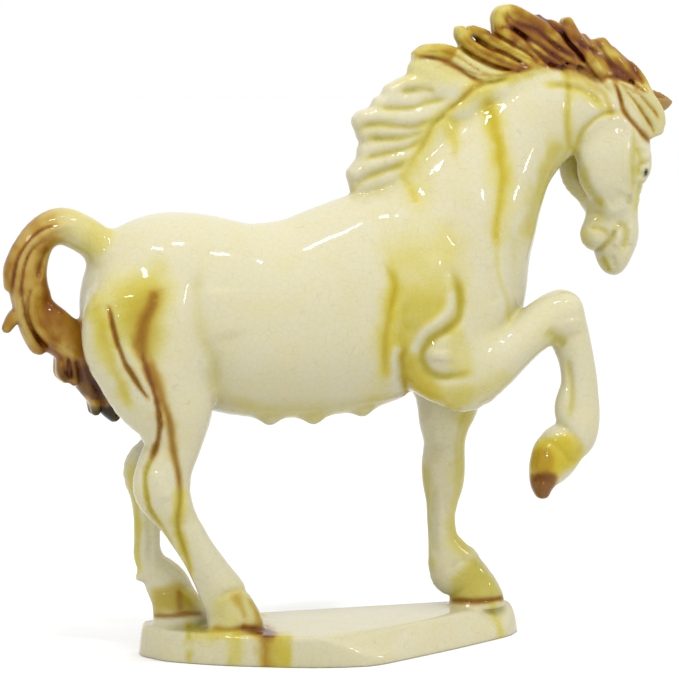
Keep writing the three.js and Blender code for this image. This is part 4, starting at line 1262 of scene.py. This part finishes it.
def build_horse():
    """The horse and its slab: one thinned and painted skin."""
    skin = Skin()
    vertices, quads = outer_skin(*skin.mesh())
    horse = thinned(mesh_object("horse_skin", (vertices + HORSE_PLACE) * MM, quads), MOST_TRIANGLES)
    with_short_edges(horse, LONGEST_EDGE * MM)
    mesh = horse.data
    places = np.empty(len(mesh.vertices) * 3)
    mesh.vertices.foreach_get("co", places)
    points = places.reshape(-1, 3) / MM - HORSE_PLACE
    colours = np.ones((len(points), 4))
    colours[:, :3] = glaze_colours(points, skin)
    layer = mesh.color_attributes.new("glaze_colour", "FLOAT_COLOR", "POINT")
    layer.data.foreach_set("color", colours.ravel())
    return horse


horse = build_horse()


# The glaze: cells of crackle in a metre, how far and how dark its lines are, and its slight waves
CRACKLE_CELLS = 300
CRACKLE_LINE = 0.03
CRACKLE_SHADE = 0.87
WAVES = {"Scale": 90, "Detail": 2}
WAVE_BUMP = {"Strength": 0.12, "Distance": 0.0008}
GLOSS = {"Roughness": 0.06, "IOR": 1.47, "Specular IOR Level": 0.27}


def set_sockets(node, values):
    """Sets some of a node's sockets, by name."""
    for name, value in values.items():
        node.inputs[name].default_value = value


def spread(tree, value, low, high, to_low, to_high):
    """A value of a node, spread from one range onto another."""
    node = tree.nodes.new("ShaderNodeMapRange")
    set_sockets(node, {"From Min": low, "From Max": high, "To Min": to_low, "To Max": to_high})
    tree.links.new(value, node.inputs["Value"])
    return node.outputs["Result"]


def make_glaze():
    """Thick clear glaze, with a fine crackle, over the painted colours."""
    material = bpy.data.materials.new("glaze")
    material.use_nodes = True
    tree = material.node_tree
    nodes, links = tree.nodes, tree.links
    shader = nodes["Principled BSDF"]
    set_sockets(shader, GLOSS)
    place = nodes.new("ShaderNodeTexCoord").outputs["Object"]
    colour = nodes.new("ShaderNodeAttribute")
    colour.attribute_name = "glaze_colour"
    crackle = nodes.new("ShaderNodeTexVoronoi")
    crackle.feature = "DISTANCE_TO_EDGE"
    crackle.inputs["Scale"].default_value = CRACKLE_CELLS
    links.new(place, crackle.inputs["Vector"])
    shaded = nodes.new("ShaderNodeVectorMath")
    shaded.operation = "SCALE"
    links.new(colour.outputs["Color"], shaded.inputs[0])
    line = spread(tree, crackle.outputs["Distance"], 0.0, CRACKLE_LINE, CRACKLE_SHADE, 1.0)
    links.new(line, shaded.inputs["Scale"])
    links.new(shaded.outputs["Vector"], shader.inputs["Base Color"])
    waves = nodes.new("ShaderNodeTexNoise")
    set_sockets(waves, WAVES)
    links.new(place, waves.inputs["Vector"])
    bump = nodes.new("ShaderNodeBump")
    set_sockets(bump, WAVE_BUMP)
    links.new(waves.outputs["Fac"], bump.inputs["Height"])
    links.new(bump.outputs["Normal"], shader.inputs["Normal"])
    return material


horse.data.materials.append(make_glaze())
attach(horse, "root")
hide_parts("glazed_horse")


# The stage, in metres and watts: where each softbox stands, its width and height, and its power
SOFTBOXES = {
    "top left softbox": ((-0.32, -0.5, 1.15), (0.2, 0.05), 3.2),
    "top softbox": ((0.02, -0.45, 1.25), (0.14, 0.05), 2.6),
    "top right softbox": ((0.4, -0.55, 1.1), (0.12, 0.04), 1.9),
    "left softbox": ((-0.9, -1.0, 0.7), (0.05, 0.16), 3.2),
    "right softbox": ((0.75, -1.1, 0.8), (0.03, 0.16), 1.8),
    "far right softbox": ((1.2, -0.5, 0.5), (0.03, 0.1), 0.9),
}
LIT_PLACE = (0, 0, 0.15)
STUDIO_HEIGHTS = (0.15, 0.9)
STUDIO_STRENGTHS = (1.0, 1.5)
FLOOR_REACH = 30
FLOOR_LOOK = {"Base Color": (0.74, 0.74, 0.74, 1), "Roughness": 0.9}
SENSOR_WIDTH = 36


def look(thing, target):
    """Turns a light or a camera so that it faces the target."""
    direction = np.array(target) - np.array(thing.location)
    yaw = math.atan2(direction[1], direction[0]) - math.pi / 2
    pitch = math.atan2(direction[2], math.hypot(direction[0], direction[1])) + math.pi / 2
    thing.rotation_euler = (pitch, 0, yaw)


def add_camera():
    """The photograph's view: 17 degrees round towards the horse's tail, from a little above."""
    camera = bpy.data.objects.new("camera", bpy.data.cameras.new("camera"))
    bpy.context.scene.collection.objects.link(camera)
    camera.location = (CAMERA_TARGET + CAMERA_DISTANCE * CAMERA_BACK) * MM
    camera.data.sensor_width = SENSOR_WIDTH
    camera.data.lens = SENSOR_WIDTH * FOCAL_LENGTH / PHOTO_SIZE[0]
    camera.data.clip_start = 0.05
    look(camera, CAMERA_TARGET * MM)
    bpy.context.scene.camera = camera


def add_floor():
    """A plain pale floor."""
    corners = [[-FLOOR_REACH, -FLOOR_REACH, 0], [FLOOR_REACH, -FLOOR_REACH, 0],
               [FLOOR_REACH, FLOOR_REACH, 0], [-FLOOR_REACH, FLOOR_REACH, 0]]
    floor = mesh_object("floor", np.array(corners, float), np.array([[0, 1, 2, 3]]))
    material = bpy.data.materials.new("floor")
    material.use_nodes = True
    set_sockets(material.node_tree.nodes["Principled BSDF"], FLOOR_LOOK)
    floor.data.materials.append(material)


def add_softbox(name, place, size, power):
    """A rectangular light that faces the horse's middle."""
    light = bpy.data.lights.new(name, "AREA")
    light.shape = "RECTANGLE"
    light.size, light.size_y = size
    light.energy = power
    lamp = bpy.data.objects.new(name, light)
    bpy.context.scene.collection.objects.link(lamp)
    lamp.location = place
    look(lamp, LIT_PLACE)


def add_lights():
    """A white studio, brighter above, and six small softboxes for the glaze's highlights."""
    world = bpy.data.worlds.new("studio")
    bpy.context.scene.world = world
    world.use_nodes = True
    tree = world.node_tree
    parts = tree.nodes.new("ShaderNodeSeparateXYZ")
    tree.links.new(tree.nodes.new("ShaderNodeTexCoord").outputs["Generated"], parts.inputs["Vector"])
    strength = spread(tree, parts.outputs["Z"], *STUDIO_HEIGHTS, *STUDIO_STRENGTHS)
    background = tree.nodes["Background"]
    tree.links.new(strength, background.inputs["Strength"])
    background.inputs["Color"].default_value = (1, 1, 1, 1)
    for name, (place, size, power) in SOFTBOXES.items():
        add_softbox(name, place, size, power)


add_camera()
add_floor()
add_lights()
bpy.context.scene.view_settings.view_transform = "Standard"
